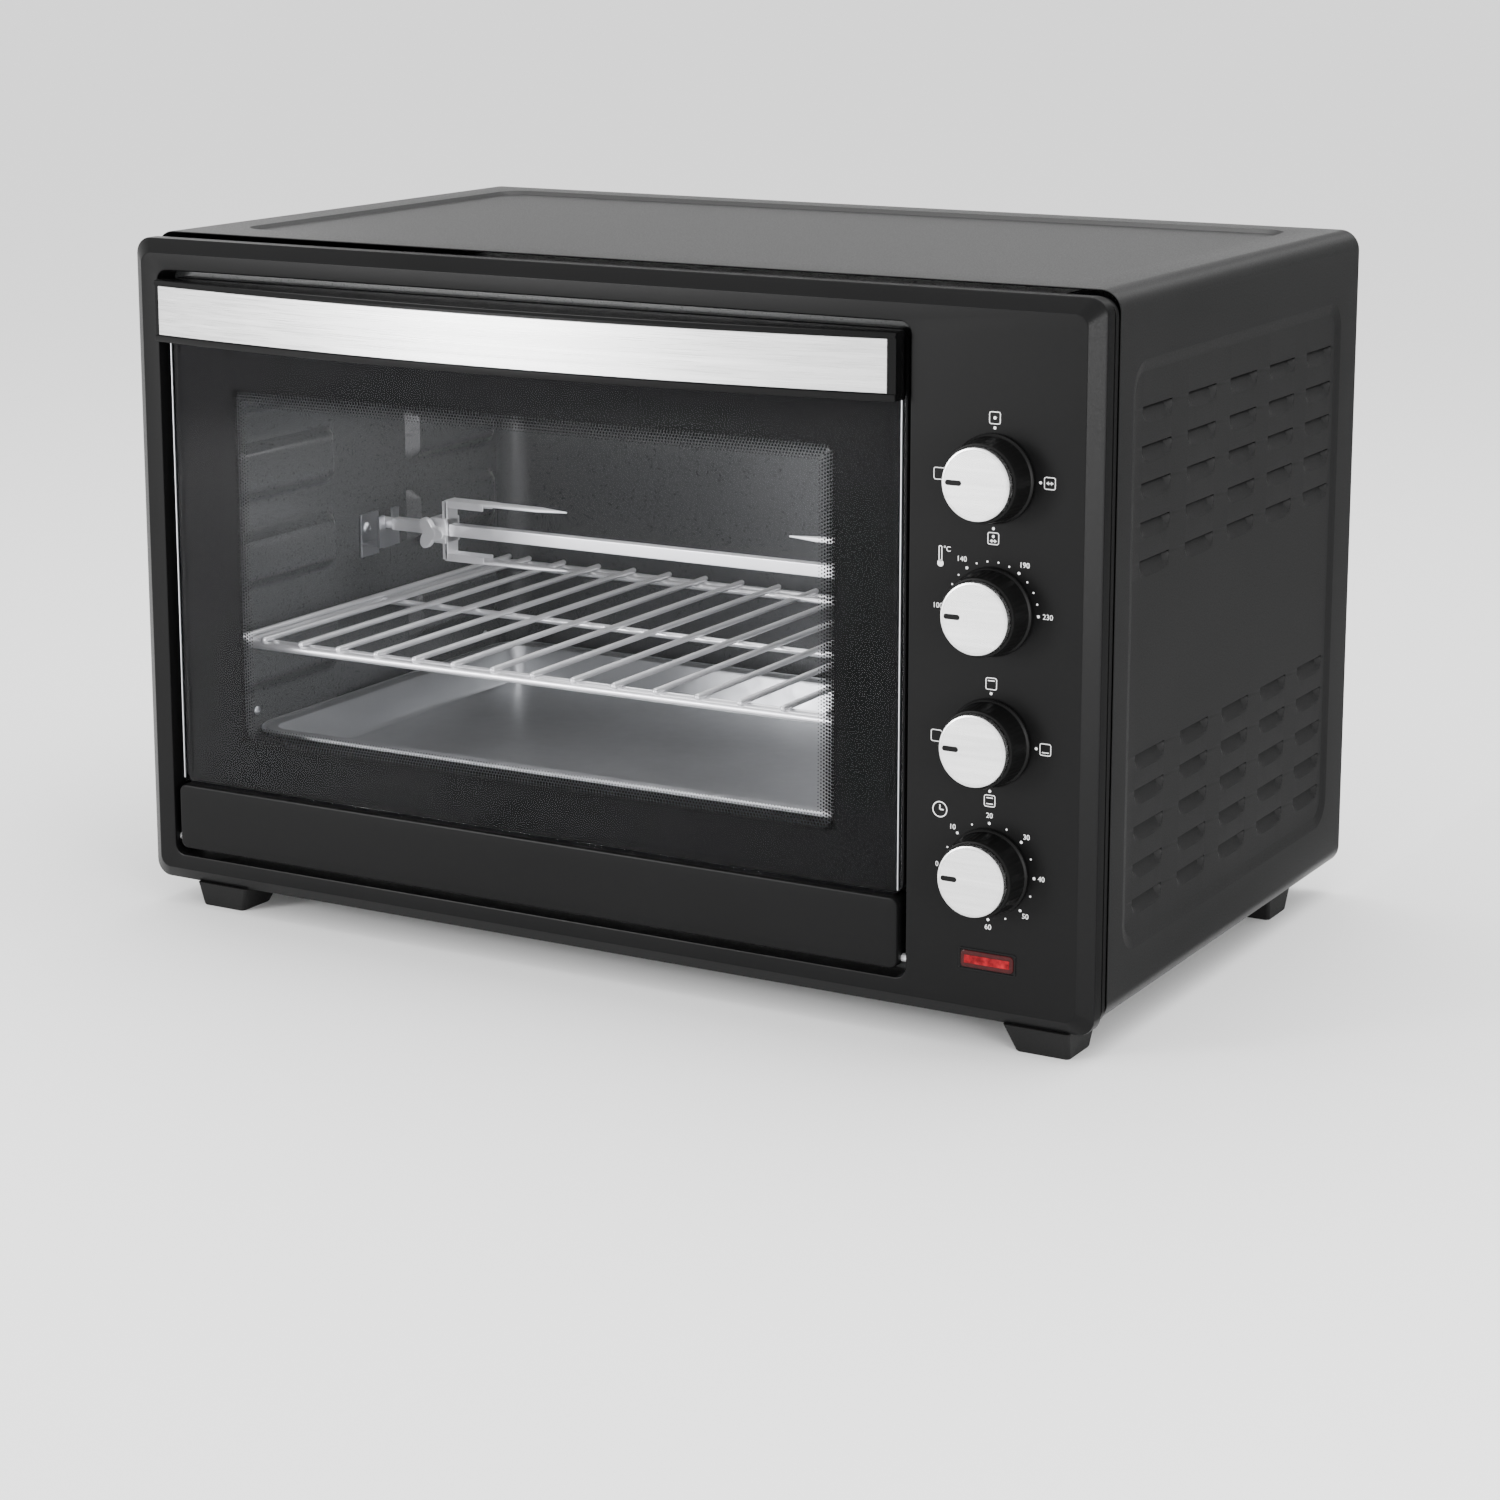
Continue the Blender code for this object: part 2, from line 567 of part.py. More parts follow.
# ---------------------------------------------------------------- rack, tray, spit, fan
def wire_rack(rack):
    """Bars from front to back on three cross rails, between two heavier side wires."""
    bars = []
    for k in range(RACK_BARS):
        x = RACK_MIDDLE + RACK_PITCH * (k - (RACK_BARS - 1) / 2)
        bars.append(box((x - 0.002, 0.034, RACK_Z), (x + 0.002, 0.308, RACK_Z + 0.004)))
    for side in (-1, 1):
        x = RACK_MIDDLE + side * (RACK_SIDE - 0.0025)
        bars.append(box((x - 0.0025, 0.0345, RACK_Z), (x + 0.0025, 0.3075, RACK_Z + 0.005)))
    frame = new_object("wire_rack", merge(*bars), CHROME, rack)
    reach = RACK_SIDE - 0.004
    rails = [box((RACK_MIDDLE - reach, y - 0.0022, RACK_Z - 0.0038),
                 (RACK_MIDDLE + reach, y + 0.0022, RACK_Z + 0.0006)) for y in (0.038, 0.171, 0.304)]
    join(frame, merge(*rails), rack, "rack_rails")


def baking_tray(tray):
    """A pressed steel tray that hangs on the lowest shelves by its rim."""
    def outline(z, inset):
        left, right, front, back = TRAY_RIM
        return level(z, left + inset, right - inset, front + inset, back - inset,
                     TRAY_CORNER - inset)

    rings = [outline(TRAY_FLOOR, 0.0150), outline(TRAY_TOP - 0.0015, 0.0085),
             outline(TRAY_TOP - 0.0015, 0.0), outline(TRAY_TOP, 0.0),
             outline(TRAY_TOP, 0.0100), outline(TRAY_FLOOR + 0.0012, 0.0163)]
    new_object("baking_tray", skin(rings), ENAMEL, tray)


def spit_rod(spit):
    """The square rod, with a round pointed end that turns in the cradle."""
    def square(x, half):
        return [(x, SPIT.y + u * half, SPIT.z + v * half)
                for u, v in ((1, 1), (0, 1), (-1, 1), (-1, 0), (-1, -1), (0, -1), (1, -1), (1, 0))]

    def circle(x, radius):
        return [(x, SPIT.y + radius * math.cos(k * math.pi / 4 + math.pi / 4),
                 SPIT.z + radius * math.sin(k * math.pi / 4 + math.pi / 4)) for k in range(8)]

    rings = [circle(ROD_LEFT, 0.0012), circle(ROD_LEFT + 0.004, ROD_HALF),
             circle(ROD_SQUARE, ROD_HALF), square(ROD_SQUARE + 0.001, ROD_HALF),
             square(ROD_RIGHT, ROD_HALF)]
    new_object("spit_rod", skin(rings), CHROME, spit)
    cup = ((0.485, 0.0078), (0.459, 0.0078), (0.459, 0.0054), (0.4745, 0.0054))
    new_object("drive_socket", turned("x", SPIT, cup, 16), ZINC, spit)


def prong(x_base, x_tip, side):
    """One flat prong with a sharpened end, at one side of the rod."""
    point_start = x_tip - math.copysign(0.018, x_tip - x_base)
    rings = []
    for x, half_width, half_thick in ((x_base, 0.0035, 0.0012), (point_start, 0.0035, 0.0012),
                                      (x_tip, 0.0006, 0.0004)):
        ring = []
        for u, v in ((1, 1), (-1, 1), (-1, -1), (1, -1)):
            ring.append((x, SPIT.y + u * half_width,
                         SPIT.z + side * FORK_REACH + v * half_thick))
        rings.append(ring)
    return skin(rings)


def fork(holder, name, hub, tip):
    """A fork: square hub on the rod, cross plate, two prongs and a clamping screw."""
    facing = math.copysign(1, tip - hub)
    hub_end = hub + facing * 0.011
    bm = box((min(hub, hub_end), SPIT.y - HUB_HALF, SPIT.z - HUB_HALF),
             (max(hub, hub_end), SPIT.y + HUB_HALF, SPIT.z + HUB_HALF))
    piece = new_object(name + "_fork", bm, CHROME, holder)
    inner = hub_end - facing * 0.0024
    half = FORK_REACH + 0.0012
    plate = box((min(inner, hub_end), SPIT.y - 0.0055, SPIT.z - half),
                (max(inner, hub_end), SPIT.y + 0.0055, SPIT.z + half))
    join(piece, plate, holder, name + "_plate")
    prongs = [prong(hub_end - facing * 0.001, tip, side) for side in (-1, 1)]
    join(piece, merge(*prongs), holder, name + "_prongs")
    low, high = min(hub, hub_end) - 0.003, max(hub, hub_end) + 0.003
    way = box((low, SPIT.y - ROD_WAY, SPIT.z - ROD_WAY),
              (high, SPIT.y + ROD_WAY, SPIT.z + ROD_WAY))
    cut(piece, way, holder, name + "_rod_way")


def thumbscrew(holder, name):
    """A three-lobed screw head on a short stem, standing on the fork's hub."""
    centre = holder["anchor"]
    head, stem = [], []
    for k in range(24):
        angle = 2 * math.pi * k / 24
        lobe = 0.0075 + 0.0025 * math.cos(3 * angle)
        head.append((lobe * math.cos(angle), lobe * math.sin(angle)))
        stem.append((0.0025 * math.cos(angle), 0.0025 * math.sin(angle)))

    def ring(y, points):
        return [(centre.x + u, y, centre.z + v) for u, v in points]

    foot = SPIT.y - HUB_HALF - GAP
    rings = [ring(foot, stem), ring(foot - 0.006, stem), ring(foot - 0.006, head),
             ring(foot - 0.010, head)]
    new_object(name + "_thumbscrew", skin(rings), CHROME, holder)


def fan_blade(fan):
    """A flat paddle wheel on the fan motor's spindle."""
    points = []
    for k in range(6):
        angle = 2 * math.pi * k / 6
        for radius, half in ((0.009, 0.0012), (0.034, 0.0012), (0.034, -0.0012), (0.009, -0.0012)):
            across = Vector((radius, half, 0))
            turn = Matrix.Rotation(angle, 3, "Z")
            points.append(turn @ across)
    points.sort(key=lambda p: round(math.atan2(p.y, p.x) % (2 * math.pi), 6))
    rings = [[(x, FAN.y + p.x, FAN.z + p.y) for p in points] for x in (0.4690, 0.4770)]
    blade = new_object("fan_blade", skin(rings), ZINC, fan)
    join(blade, turned("x", FAN, ((0.4680, 0.0095), (0.4800, 0.0095)), 16), fan, "fan_hub")


# ---------------------------------------------------------------- assembly
def build():
    """Make every piece, the fixed ones on the body and the moving ones on their axes."""
    for old in list(bpy.data.objects):
        bpy.data.objects.remove(old, do_unlink=True)

    body = make_empty("body_corner", Vector((0, 0, 0)))
    depth = BODY_DEPTH + HANDLE_REACH
    body["empty"].location = (-WIDTH / 2, HANDLE_REACH - depth / 2, FOOT_HEIGHT)

    front_fascia(body)
    top_cover(body)
    base_pan(body)
    rear_panel(body)
    cord_gland(body)
    feet(body)
    cavity_front_frame(body)
    cavity_side_wall(body, "cavity_left_wall", CAVITY_LEFT, 1)
    cavity_side_wall(body, "cavity_right_wall", CAVITY_RIGHT, -1)
    cavity_plates(body)
    heating_elements(body)
    spit_bracket(body)
    control_works(body)
    drive_works(body)
    hinge_brackets(body)

    door = make_empty("door_axis", HINGE, body)
    door_panels(door)
    hinge_pins(door)
    handle(door)

    for name, height in KNOB_HEIGHTS.items():
        knob(make_empty(name + "_axis", Vector((KNOB_X, 0, height)), body), name)

    wire_rack(make_empty("rack_way", Vector((RACK_MIDDLE, 0.034, RACK_Z)), body))
    baking_tray(make_empty("tray_way", Vector((RACK_MIDDLE, 0.040, TRAY_TOP)), body))

    spit = make_empty("spit_axis", SPIT, body)
    spit_rod(spit)
    for name, hub, tip in (("left", 0.086, 0.176), ("right", 0.412, 0.322)):
        slide = make_empty(name + "_fork_way", SPIT + Vector((hub, 0, 0)), spit)
        fork(slide, name, hub, tip)
        middle = hub + math.copysign(0.0045, tip - hub)
        screw = make_empty(name + "_screw_axis", SPIT + Vector((middle, 0, 0)), slide)
        thumbscrew(screw, name)

    fan_blade(make_empty("fan_axis", FAN, body))


build()
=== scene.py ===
# %% [markdown]
# A counter-top rotisserie oven: the looks of every piece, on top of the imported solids.
# The solids are loaded first and are never moved. Everything here is drawn in millimetres
# from one corner, the lower left corner of the front fascia: x to the right, y to the
# back, z up. A piece is turned into metres only once, when it is finished.

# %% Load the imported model
import math

import bmesh
import bpy
from mathutils import Matrix, Vector


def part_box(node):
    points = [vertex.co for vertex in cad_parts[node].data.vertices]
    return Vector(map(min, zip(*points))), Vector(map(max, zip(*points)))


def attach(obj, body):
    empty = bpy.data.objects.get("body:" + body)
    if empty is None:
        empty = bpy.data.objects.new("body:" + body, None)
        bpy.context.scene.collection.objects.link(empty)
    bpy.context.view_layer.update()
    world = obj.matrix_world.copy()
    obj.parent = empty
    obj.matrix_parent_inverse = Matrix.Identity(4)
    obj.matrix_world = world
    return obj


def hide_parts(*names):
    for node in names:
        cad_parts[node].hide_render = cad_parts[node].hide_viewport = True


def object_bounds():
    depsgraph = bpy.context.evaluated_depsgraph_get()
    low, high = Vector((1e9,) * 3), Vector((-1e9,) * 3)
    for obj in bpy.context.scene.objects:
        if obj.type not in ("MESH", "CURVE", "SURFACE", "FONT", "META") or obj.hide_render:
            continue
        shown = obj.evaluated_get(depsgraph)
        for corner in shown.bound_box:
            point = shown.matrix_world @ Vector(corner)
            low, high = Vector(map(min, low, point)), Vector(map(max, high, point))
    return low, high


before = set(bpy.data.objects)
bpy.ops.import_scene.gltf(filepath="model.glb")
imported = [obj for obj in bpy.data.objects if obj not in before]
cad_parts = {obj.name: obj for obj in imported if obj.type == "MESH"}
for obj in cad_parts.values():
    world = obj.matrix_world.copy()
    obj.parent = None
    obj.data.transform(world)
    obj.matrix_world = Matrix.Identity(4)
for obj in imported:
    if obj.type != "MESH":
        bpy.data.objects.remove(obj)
cad_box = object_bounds()
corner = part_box("front_fascia")[0]


def box_mm(node):
    """A solid's lowest and highest corners, in millimetres from the fascia's corner."""
    low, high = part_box(node)
    return (low - corner) * 1000, (high - corner) * 1000


fascia_low, fascia_high = box_mm("front_fascia")
cover_low, cover_high = box_mm("top_cover")
glass_low, glass_high = box_mm("door_glass")
trim_low, trim_high = box_mm("door_bottom_trim")
grip_low, grip_high = box_mm("handle_grip")
print("fascia", [round(v, 1) for v in fascia_high], "cover", [round(v, 1) for v in cover_high])

# %% [markdown]
# The camera stands to the right of the oven, a little above it, with a long lens. Most of
# the downward look comes from its pitch. A small lens shift lessens how far uprights lean,
# but does not take the lean away.

# %% Camera
CAMERA_TURN, CAMERA_PITCH = 29.597, 11.297
CAMERA_PLACE = Vector((1230.0, -1478.0, 555.0))
CAMERA_LENS, CAMERA_SHIFT = 83.09, -0.12

camera_data = bpy.data.cameras.new("studio_camera")
camera_data.lens = CAMERA_LENS
camera_data.sensor_width = 36.0
camera_data.shift_y = CAMERA_SHIFT
camera = bpy.data.objects.new("studio_camera", camera_data)
camera.location = corner + CAMERA_PLACE / 1000
camera.rotation_euler = (math.radians(90 - CAMERA_PITCH), 0, math.radians(CAMERA_TURN))
bpy.context.scene.collection.objects.link(camera)
bpy.context.scene.camera = camera
print("camera", [round(v, 3) for v in camera.location])

# %% [markdown]
# A wide white floor and large soft lamps, as in a product studio. Black paint shows only what it
# reflects, so the lamps are big and each one is placed for one side of the oven.

# %% Floor and lamps
floor_mesh = bmesh.new()
bmesh.ops.create_grid(floor_mesh, x_segments=1, y_segments=1, size=120.0)
floor_data = bpy.data.meshes.new("studio_floor")
floor_mesh.to_mesh(floor_data)
floor_mesh.free()
floor = bpy.data.objects.new("studio_floor", floor_data)
floor.location.z = cad_box[0].z
bpy.context.scene.collection.objects.link(floor)
floor_paint = bpy.data.materials.new("pale_floor")
floor_paint.use_nodes = True
floor_shader = floor_paint.node_tree.nodes["Principled BSDF"]
floor_shader.inputs["Base Color"].default_value = (0.9, 0.9, 0.9, 1)
floor_shader.inputs["Roughness"].default_value = 0.7
floor_data.materials.append(floor_paint)

world = bpy.data.worlds.new("studio_air")
world.use_nodes = True
world.node_tree.nodes["Background"].inputs["Color"].default_value = (1.0, 1.0, 1.0, 1)
world.node_tree.nodes["Background"].inputs["Strength"].default_value = 1.7
bpy.context.scene.world = world


def soft_lamp(name, place, aim, width, height, power):
    """A rectangular lamp at one point, turned to face another."""
    data = bpy.data.lights.new(name, "AREA")
    data.shape = "RECTANGLE"
    data.size, data.size_y, data.energy = width, height, power
    lamp = bpy.data.objects.new(name, data)
    lamp.location = place
    lamp.rotation_euler = (Vector(aim) - Vector(place)).to_track_quat("-Z", "Y").to_euler()
    lamp.visible_camera = False
    bpy.context.scene.collection.objects.link(lamp)
    return lamp


lamps = [soft_lamp("overhead_lamp", (0.2, 0.3, 1.9), (0, 0, 0.2), 2.0, 1.6, 40),
         soft_lamp("front_lamp", (-1.05, -1.75, 0.55), (-0.05, 0, 0.2), 0.5, 0.7, 34),
         soft_lamp("corner_lamp", (1.25, -0.95, 0.32), (0.28, -0.16, 0.2), 0.5, 0.6, 16),
         soft_lamp("cavity_lamp", (0.0, 0.0, 0.345), (0.0, 0.0, 0.0), 0.34, 0.2, 0.95)]
print("lamps", [lamp.name for lamp in lamps])

# %% [markdown]
# A studio keeps black paint black with dark flags: cards that only the shine of the paint
# sees. They stand and lie behind the oven's right side, and one hangs high behind its top.

# %% Flags
flag_paint = bpy.data.materials.new("flag_cloth")
flag_paint.use_nodes = True
flag_shader = flag_paint.node_tree.nodes["Principled BSDF"]
flag_shader.inputs["Base Color"].default_value = (0.17, 0.17, 0.17, 1)
flag_shader.inputs["Specular IOR Level"].default_value = 0.0


def flag(name, place, aim, width, height):
    """A dark card seen only in reflections."""
    mesh = bpy.data.meshes.new(name)
    mesh.from_pydata([(u * width / 2, v * height / 2, 0) for u, v in ((-1, -1), (1, -1), (1, 1), (-1, 1))],
                     [], [(0, 1, 2, 3)])
    mesh.materials.append(flag_paint)
    card = bpy.data.objects.new(name, mesh)
    card.location = place
    card.rotation_euler = (Vector(aim) - Vector(place)).to_track_quat("Z", "Y").to_euler()
    card.visible_camera = card.visible_diffuse = card.visible_shadow = card.visible_transmission = False
    bpy.context.scene.collection.objects.link(card)
    return card


flags = [flag("side_flag", (1.6, 1.9, 0.5), (0.29, 0, 0.15), 3.2, 1.6),
         flag("floor_flag", (1.85, 1.5, cad_box[0].z + 0.001), (1.85, 1.5, 5.0), 3.1, 3.2),
         flag("top_flag", (-0.9, 2.6, 1.5), (0, 0, 0.36), 2.4, 1.2)]
print("flags", [card.name for card in flags])

# %% [markdown]
# A finish is a Principled shader whose colour, roughness and surface height are varied by
# noise. Noise on Object coordinates is locked to the metal, whatever shape it is pressed
# into. Stretching the noise along one direction turns it into brushing.

# %% How a finish is made
def new_finish(name, colour, roughness, metallic=0.0):
    """A material with its shader and the node that gives places on the piece."""
    material = bpy.data.materials.new(name)
    material.use_nodes = True
    nodes = material.node_tree.nodes
    shader = nodes["Principled BSDF"]
    shader.inputs["Base Color"].default_value = (*colour, 1)
    shader.inputs["Roughness"].default_value = roughness
    shader.inputs["Metallic"].default_value = metallic
    nodes.new("ShaderNodeTexCoord").name = "places"
    return material


def noise(material, scale, stretch=(1, 1, 1), detail=3.0):
    """Noise at so many grains a metre, stretched along the axes, as a node."""
    nodes, links = material.node_tree.nodes, material.node_tree.links
    mapping = nodes.new("ShaderNodeMapping")
    mapping.inputs["Scale"].default_value = stretch
    texture = nodes.new("ShaderNodeTexNoise")
    texture.inputs["Scale"].default_value = scale
    texture.inputs["Detail"].default_value = detail
    links.new(nodes["places"].outputs["Object"], mapping.inputs["Vector"])
    links.new(mapping.outputs["Vector"], texture.inputs["Vector"])
    return texture


def vary(material, texture, socket, low, high):
    """Let a texture drive a number or a colour of the shader between two values."""
    nodes, links = material.node_tree.nodes, material.node_tree.links
    shader = nodes["Principled BSDF"]
    if socket == "Base Color":
        ramp = nodes.new("ShaderNodeValToRGB")
        ramp.color_ramp.elements[0].position, ramp.color_ramp.elements[1].position = 0.3, 0.7
        ramp.color_ramp.elements[0].color = (*low, 1)
        ramp.color_ramp.elements[1].color = (*high, 1)
        links.new(texture.outputs["Fac"], ramp.inputs["Fac"])
        links.new(ramp.outputs["Color"], shader.inputs[socket])
    else:
        reach = nodes.new("ShaderNodeMapRange")
        reach.inputs["From Min"].default_value, reach.inputs["From Max"].default_value = 0.3, 0.7
        reach.inputs["To Min"].default_value, reach.inputs["To Max"].default_value = low, high
        links.new(texture.outputs["Fac"], reach.inputs["Value"])
        links.new(reach.outputs["Result"], shader.inputs[socket])
    return material


def roughen(material, texture, strength, depth_mm):
    """Let a texture raise and lower the surface by a small depth."""
    nodes, links = material.node_tree.nodes, material.node_tree.links
    bump = nodes.new("ShaderNodeBump")
    bump.inputs["Strength"].default_value = strength
    bump.inputs["Distance"].default_value = depth_mm / 1000
    links.new(texture.outputs["Fac"], bump.inputs["Height"])
    links.new(bump.outputs["Normal"], nodes["Principled BSDF"].inputs["Normal"])
    return material


def speckled(name, colour, spread, roughness, grain, depth_mm, metallic=0.0, blotch=9.0, shine=0.5):
    """A finish with broad blotches in its colour and fine grain in its gloss and height."""
    material = new_finish(name, colour, roughness, metallic)
    material.node_tree.nodes["Principled BSDF"].inputs["Specular IOR Level"].default_value = shine
    dark = [c * (1 - spread) for c in colour]
    light = [min(1.0, c * (1 + spread)) for c in colour]
    vary(material, noise(material, blotch), "Base Color", dark, light)
    fine = noise(material, grain)
    vary(material, fine, "Roughness", roughness * 0.85, min(1.0, roughness * 1.15))
    return roughen(material, fine, 0.35, depth_mm)


satin_black = speckled("satin_black_paint", (0.008, 0.008, 0.0081), 0.10, 0.40, 1400, 0.02, shine=0.22)
fascia_black = speckled("semi_gloss_black_paint", (0.004, 0.004, 0.0041), 0.10, 0.34, 1100, 0.012, shine=0.09)
print("paints", satin_black.name, fascia_black.name)

# %% More finishes
grip_black = speckled("gloss_black_plastic", (0.003, 0.003, 0.0031), 0.10, 0.22, 900, 0.006, shine=0.12)
knob_black = speckled("matt_black_plastic", (0.003, 0.003, 0.003), 0.12, 0.42, 2600, 0.015, shine=0.10)
foot_black = speckled("rubbery_black_plastic", (0.006, 0.006, 0.006), 0.15, 0.6, 1800, 0.03, shine=0.15)
# Near-black paint used as painted shade: the disc behind the fan guard.
painted_shade_finish = speckled("painted_shade_black", (0.0015, 0.0015, 0.0015), 0.10, 0.8, 900, 0.01, shine=0.05)
enamel = speckled("dark_grey_enamel", (0.055, 0.057, 0.058), 0.08, 0.30, 700, 0.02, 0.0, shine=0.4)
zinc = speckled("zinc_plate", (0.55, 0.56, 0.58), 0.12, 0.38, 260, 0.02, 1.0, 40)
chrome = speckled("chromed_wire", (0.90, 0.90, 0.91), 0.03, 0.34, 120, 0.0003, 0.7, 30)
tray_steel = speckled("tray_steel", (0.56, 0.57, 0.58), 0.06, 0.36, 120, 0.002, 0.9, 14)
cream = speckled("cream_plastic", (0.66, 0.64, 0.56), 0.06, 0.5, 900, 0.01)
ceramic = speckled("white_ceramic", (0.78, 0.77, 0.73), 0.05, 0.45, 700, 0.01)
element_metal = speckled("heated_element_tube", (0.13, 0.125, 0.12), 0.25, 0.5, 300, 0.02, 0.7, 60)
print_white = speckled("white_print", (0.80, 0.80, 0.80), 0.03, 0.5, 1500, 0.004)
print_black = speckled("black_glass_print", (0.003, 0.003, 0.0031), 0.10, 0.40, 200, 0.0004, shine=0.05)
print("finishes", len(bpy.data.materials))


# %% [markdown]
# Brushed steel is drawn with an abrasive belt, so its scratches are long and all lie one
# way. Noise squeezed across the strip gives them; a second, broader streak makes the soft
# grey clouds that real strips show.

# %% Brushed and spun steel
def brushed(name, colour, roughness, stretch):
    """Steel with its scratches along the axis whose stretch is smallest."""
    material = new_finish(name, colour, roughness, 1.0)
    streaks = noise(material, 60, stretch, 4.0)
    vary(material, streaks, "Base Color", [c * 0.86 for c in colour], [min(1, c * 1.08) for c in colour])
    hair = noise(material, 320, stretch, 2.0)
    vary(material, hair, "Roughness", roughness * 0.8, roughness * 1.25)
    return roughen(material, hair, 0.30, 0.015)


brushed_steel = brushed("brushed_steel_strip", (0.78, 0.78, 0.78), 0.30, (0.05, 1, 6))


def spun(name, centre_mm):
    """Steel faced on a lathe: rings round one centre, from waves of the distance to it."""
    material = new_finish(name, (0.80, 0.80, 0.80), 0.30, 1.0)
    nodes, links = material.node_tree.nodes, material.node_tree.links
    centre = corner + Vector(centre_mm) / 1000
    mapping = nodes.new("ShaderNodeMapping")
    mapping.inputs["Location"].default_value = -centre
    rings = nodes.new("ShaderNodeTexWave")
    rings.wave_type, rings.rings_direction = "RINGS", "Y"
    rings.inputs["Scale"].default_value = 420
    rings.inputs["Distortion"].default_value = 3.0
    links.new(nodes["places"].outputs["Object"], mapping.inputs["Vector"])
    links.new(mapping.outputs["Vector"], rings.inputs["Vector"])
    vary(material, rings, "Roughness", 0.26, 0.36)
    vary(material, noise(material, 90, (0.15, 1, 4)), "Base Color", (0.70,) * 3, (0.86,) * 3)
    return roughen(material, rings, 0.12, 0.01)


# %% [markdown]
# The door glass is clear: it lets most light straight through and mirrors more of the room
# the flatter one looks at it. Mixing a Transparent and a Glossy shader by Fresnel gives
# just that, without the noise that true refraction brings to a thin pane.

# %% Glass and the red lens
def pane(name, tint, lowest, highest):
    """Clear glass: see-through, with a mirror that grows towards grazing angles."""
    material = bpy.data.materials.new(name)
    material.use_nodes = True
    nodes, links = material.node_tree.nodes, material.node_tree.links
    nodes.remove(nodes["Principled BSDF"])
    nodes.new("ShaderNodeTexCoord").name = "places"
    clear = nodes.new("ShaderNodeBsdfTransparent")
    clear.inputs["Color"].default_value = (*tint, 1)
    mirror = nodes.new("ShaderNodeBsdfGlossy")
    mirror.inputs["Roughness"].default_value = 0.03
    fresnel = nodes.new("ShaderNodeFresnel")
    fresnel.inputs["IOR"].default_value = 1.45
    smudge = noise(material, 14)
    reach = nodes.new("ShaderNodeMapRange")
    reach.inputs["To Min"].default_value, reach.inputs["To Max"].default_value = lowest, highest
    scale = nodes.new("ShaderNodeMath")
    scale.operation = "MULTIPLY"
    mix = nodes.new("ShaderNodeMixShader")
    links.new(smudge.outputs["Fac"], reach.inputs["Value"])
    links.new(fresnel.outputs["Fac"], scale.inputs[0])
    links.new(reach.outputs["Result"], scale.inputs[1])
    links.new(scale.outputs["Value"], mix.inputs["Fac"])
    links.new(clear.outputs["BSDF"], mix.inputs[1])
    links.new(mirror.outputs["BSDF"], mix.inputs[2])
    links.new(mix.outputs["Shader"], nodes["Material Output"].inputs["Surface"])
    return material


door_clear = pane("clear_door_glass", (0.93, 0.93, 0.94), 0.05, 0.08)
red_lens = speckled("red_lens", (0.030, 0.0015, 0.002), 0.3, 0.14, 160, 0.02, 0.0, 260, shine=0.2)
red_core = speckled("red_lens_core", (0.2, 0.005, 0.009), 0.75, 0.2, 160, 0.02, 0.0, 240, shine=0.1)
print("glass", door_clear.name)


# %% [markdown]
# One function ends every piece: it turns millimetres into metres, smooths the shading but
# keeps real edges sharp, gives the finish, and ties the piece to the body it moves with.
# When the piece stands for a solid, that solid is hidden.

# %% How a piece is finished
def finish_piece(name, bm, finish, body, stands_for=(), wall=0.0, edge=0.0, sharp=30.0):
    """Make the drawn shape a finished piece on its body, in metres."""
    bmesh.ops.transform(bm, matrix=Matrix.Translation(corner) @ Matrix.Scale(0.001, 4), verts=bm.verts)
    mesh = bpy.data.meshes.new(name)
    bm.to_mesh(mesh)
    bm.free()
    mesh.shade_smooth()
    mesh.set_sharp_from_angle(angle=math.radians(sharp))
    mesh.materials.append(finish)
    made = bpy.data.objects.new(name, mesh)
    bpy.context.scene.collection.objects.link(made)
    if wall:
        thick = made.modifiers.new("sheet", "SOLIDIFY")
        thick.thickness, thick.offset, thick.use_even_offset = wall / 1000, -1.0, True
    if edge:
        round_off = made.modifiers.new("edges", "BEVEL")
        round_off.width, round_off.segments = edge / 1000, 2
        round_off.limit_method, round_off.angle_limit = "ANGLE", math.radians(40)
    flat = made.modifiers.new("flat_faces", "WEIGHTED_NORMAL")
    flat.keep_sharp = True
    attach(made, body)
    if stands_for:
        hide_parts(*stands_for)
    return made


def outward(bm):
    """Merge doubles and turn every face outwards."""
    bmesh.ops.remove_doubles(bm, verts=bm.verts, dist=0.0005)
    bmesh.ops.recalc_face_normals(bm, faces=bm.faces)
    return bm


def arc_corners(left, right, low, high, radius, steps=8):
    """A rounded rectangle as pairs, counter-clockwise, with round corners."""
    centres = ((right - radius, high - radius), (left + radius, high - radius),
               (left + radius, low + radius), (right - radius, low + radius))
    return [(u + radius * math.cos(math.pi / 2 * (quarter + k / steps)),
             v + radius * math.sin(math.pi / 2 * (quarter + k / steps)))
            for quarter, (u, v) in enumerate(centres) for k in range(steps + 1)]


def loop(bm, points):
    """A closed loop of edges through some points."""
    verts = [bm.verts.new(point) for point in points]
    return [bm.edges.new((verts[k - 1], verts[k])) for k in range(len(verts))]


def bridge(bm, loops):
    """Join a row of loops point by point, each to the next."""
    for one, other in zip(loops, loops[1:]):
        for near, far in zip(one, other):
            bm.faces.new((near.verts[0], near.verts[1], far.verts[1], far.verts[0]))


def flat_ring(bm, outer, inner):
    """Fill the flat space between an outer loop and the loops inside it."""
    bmesh.ops.triangle_fill(bm, use_beauty=True, use_dissolve=False, edges=outer + inner)


def lid(bm, edges):
    """Close a loop with one flat face."""
    return bmesh.ops.contextual_create(bm, geom=edges)["faces"][0]


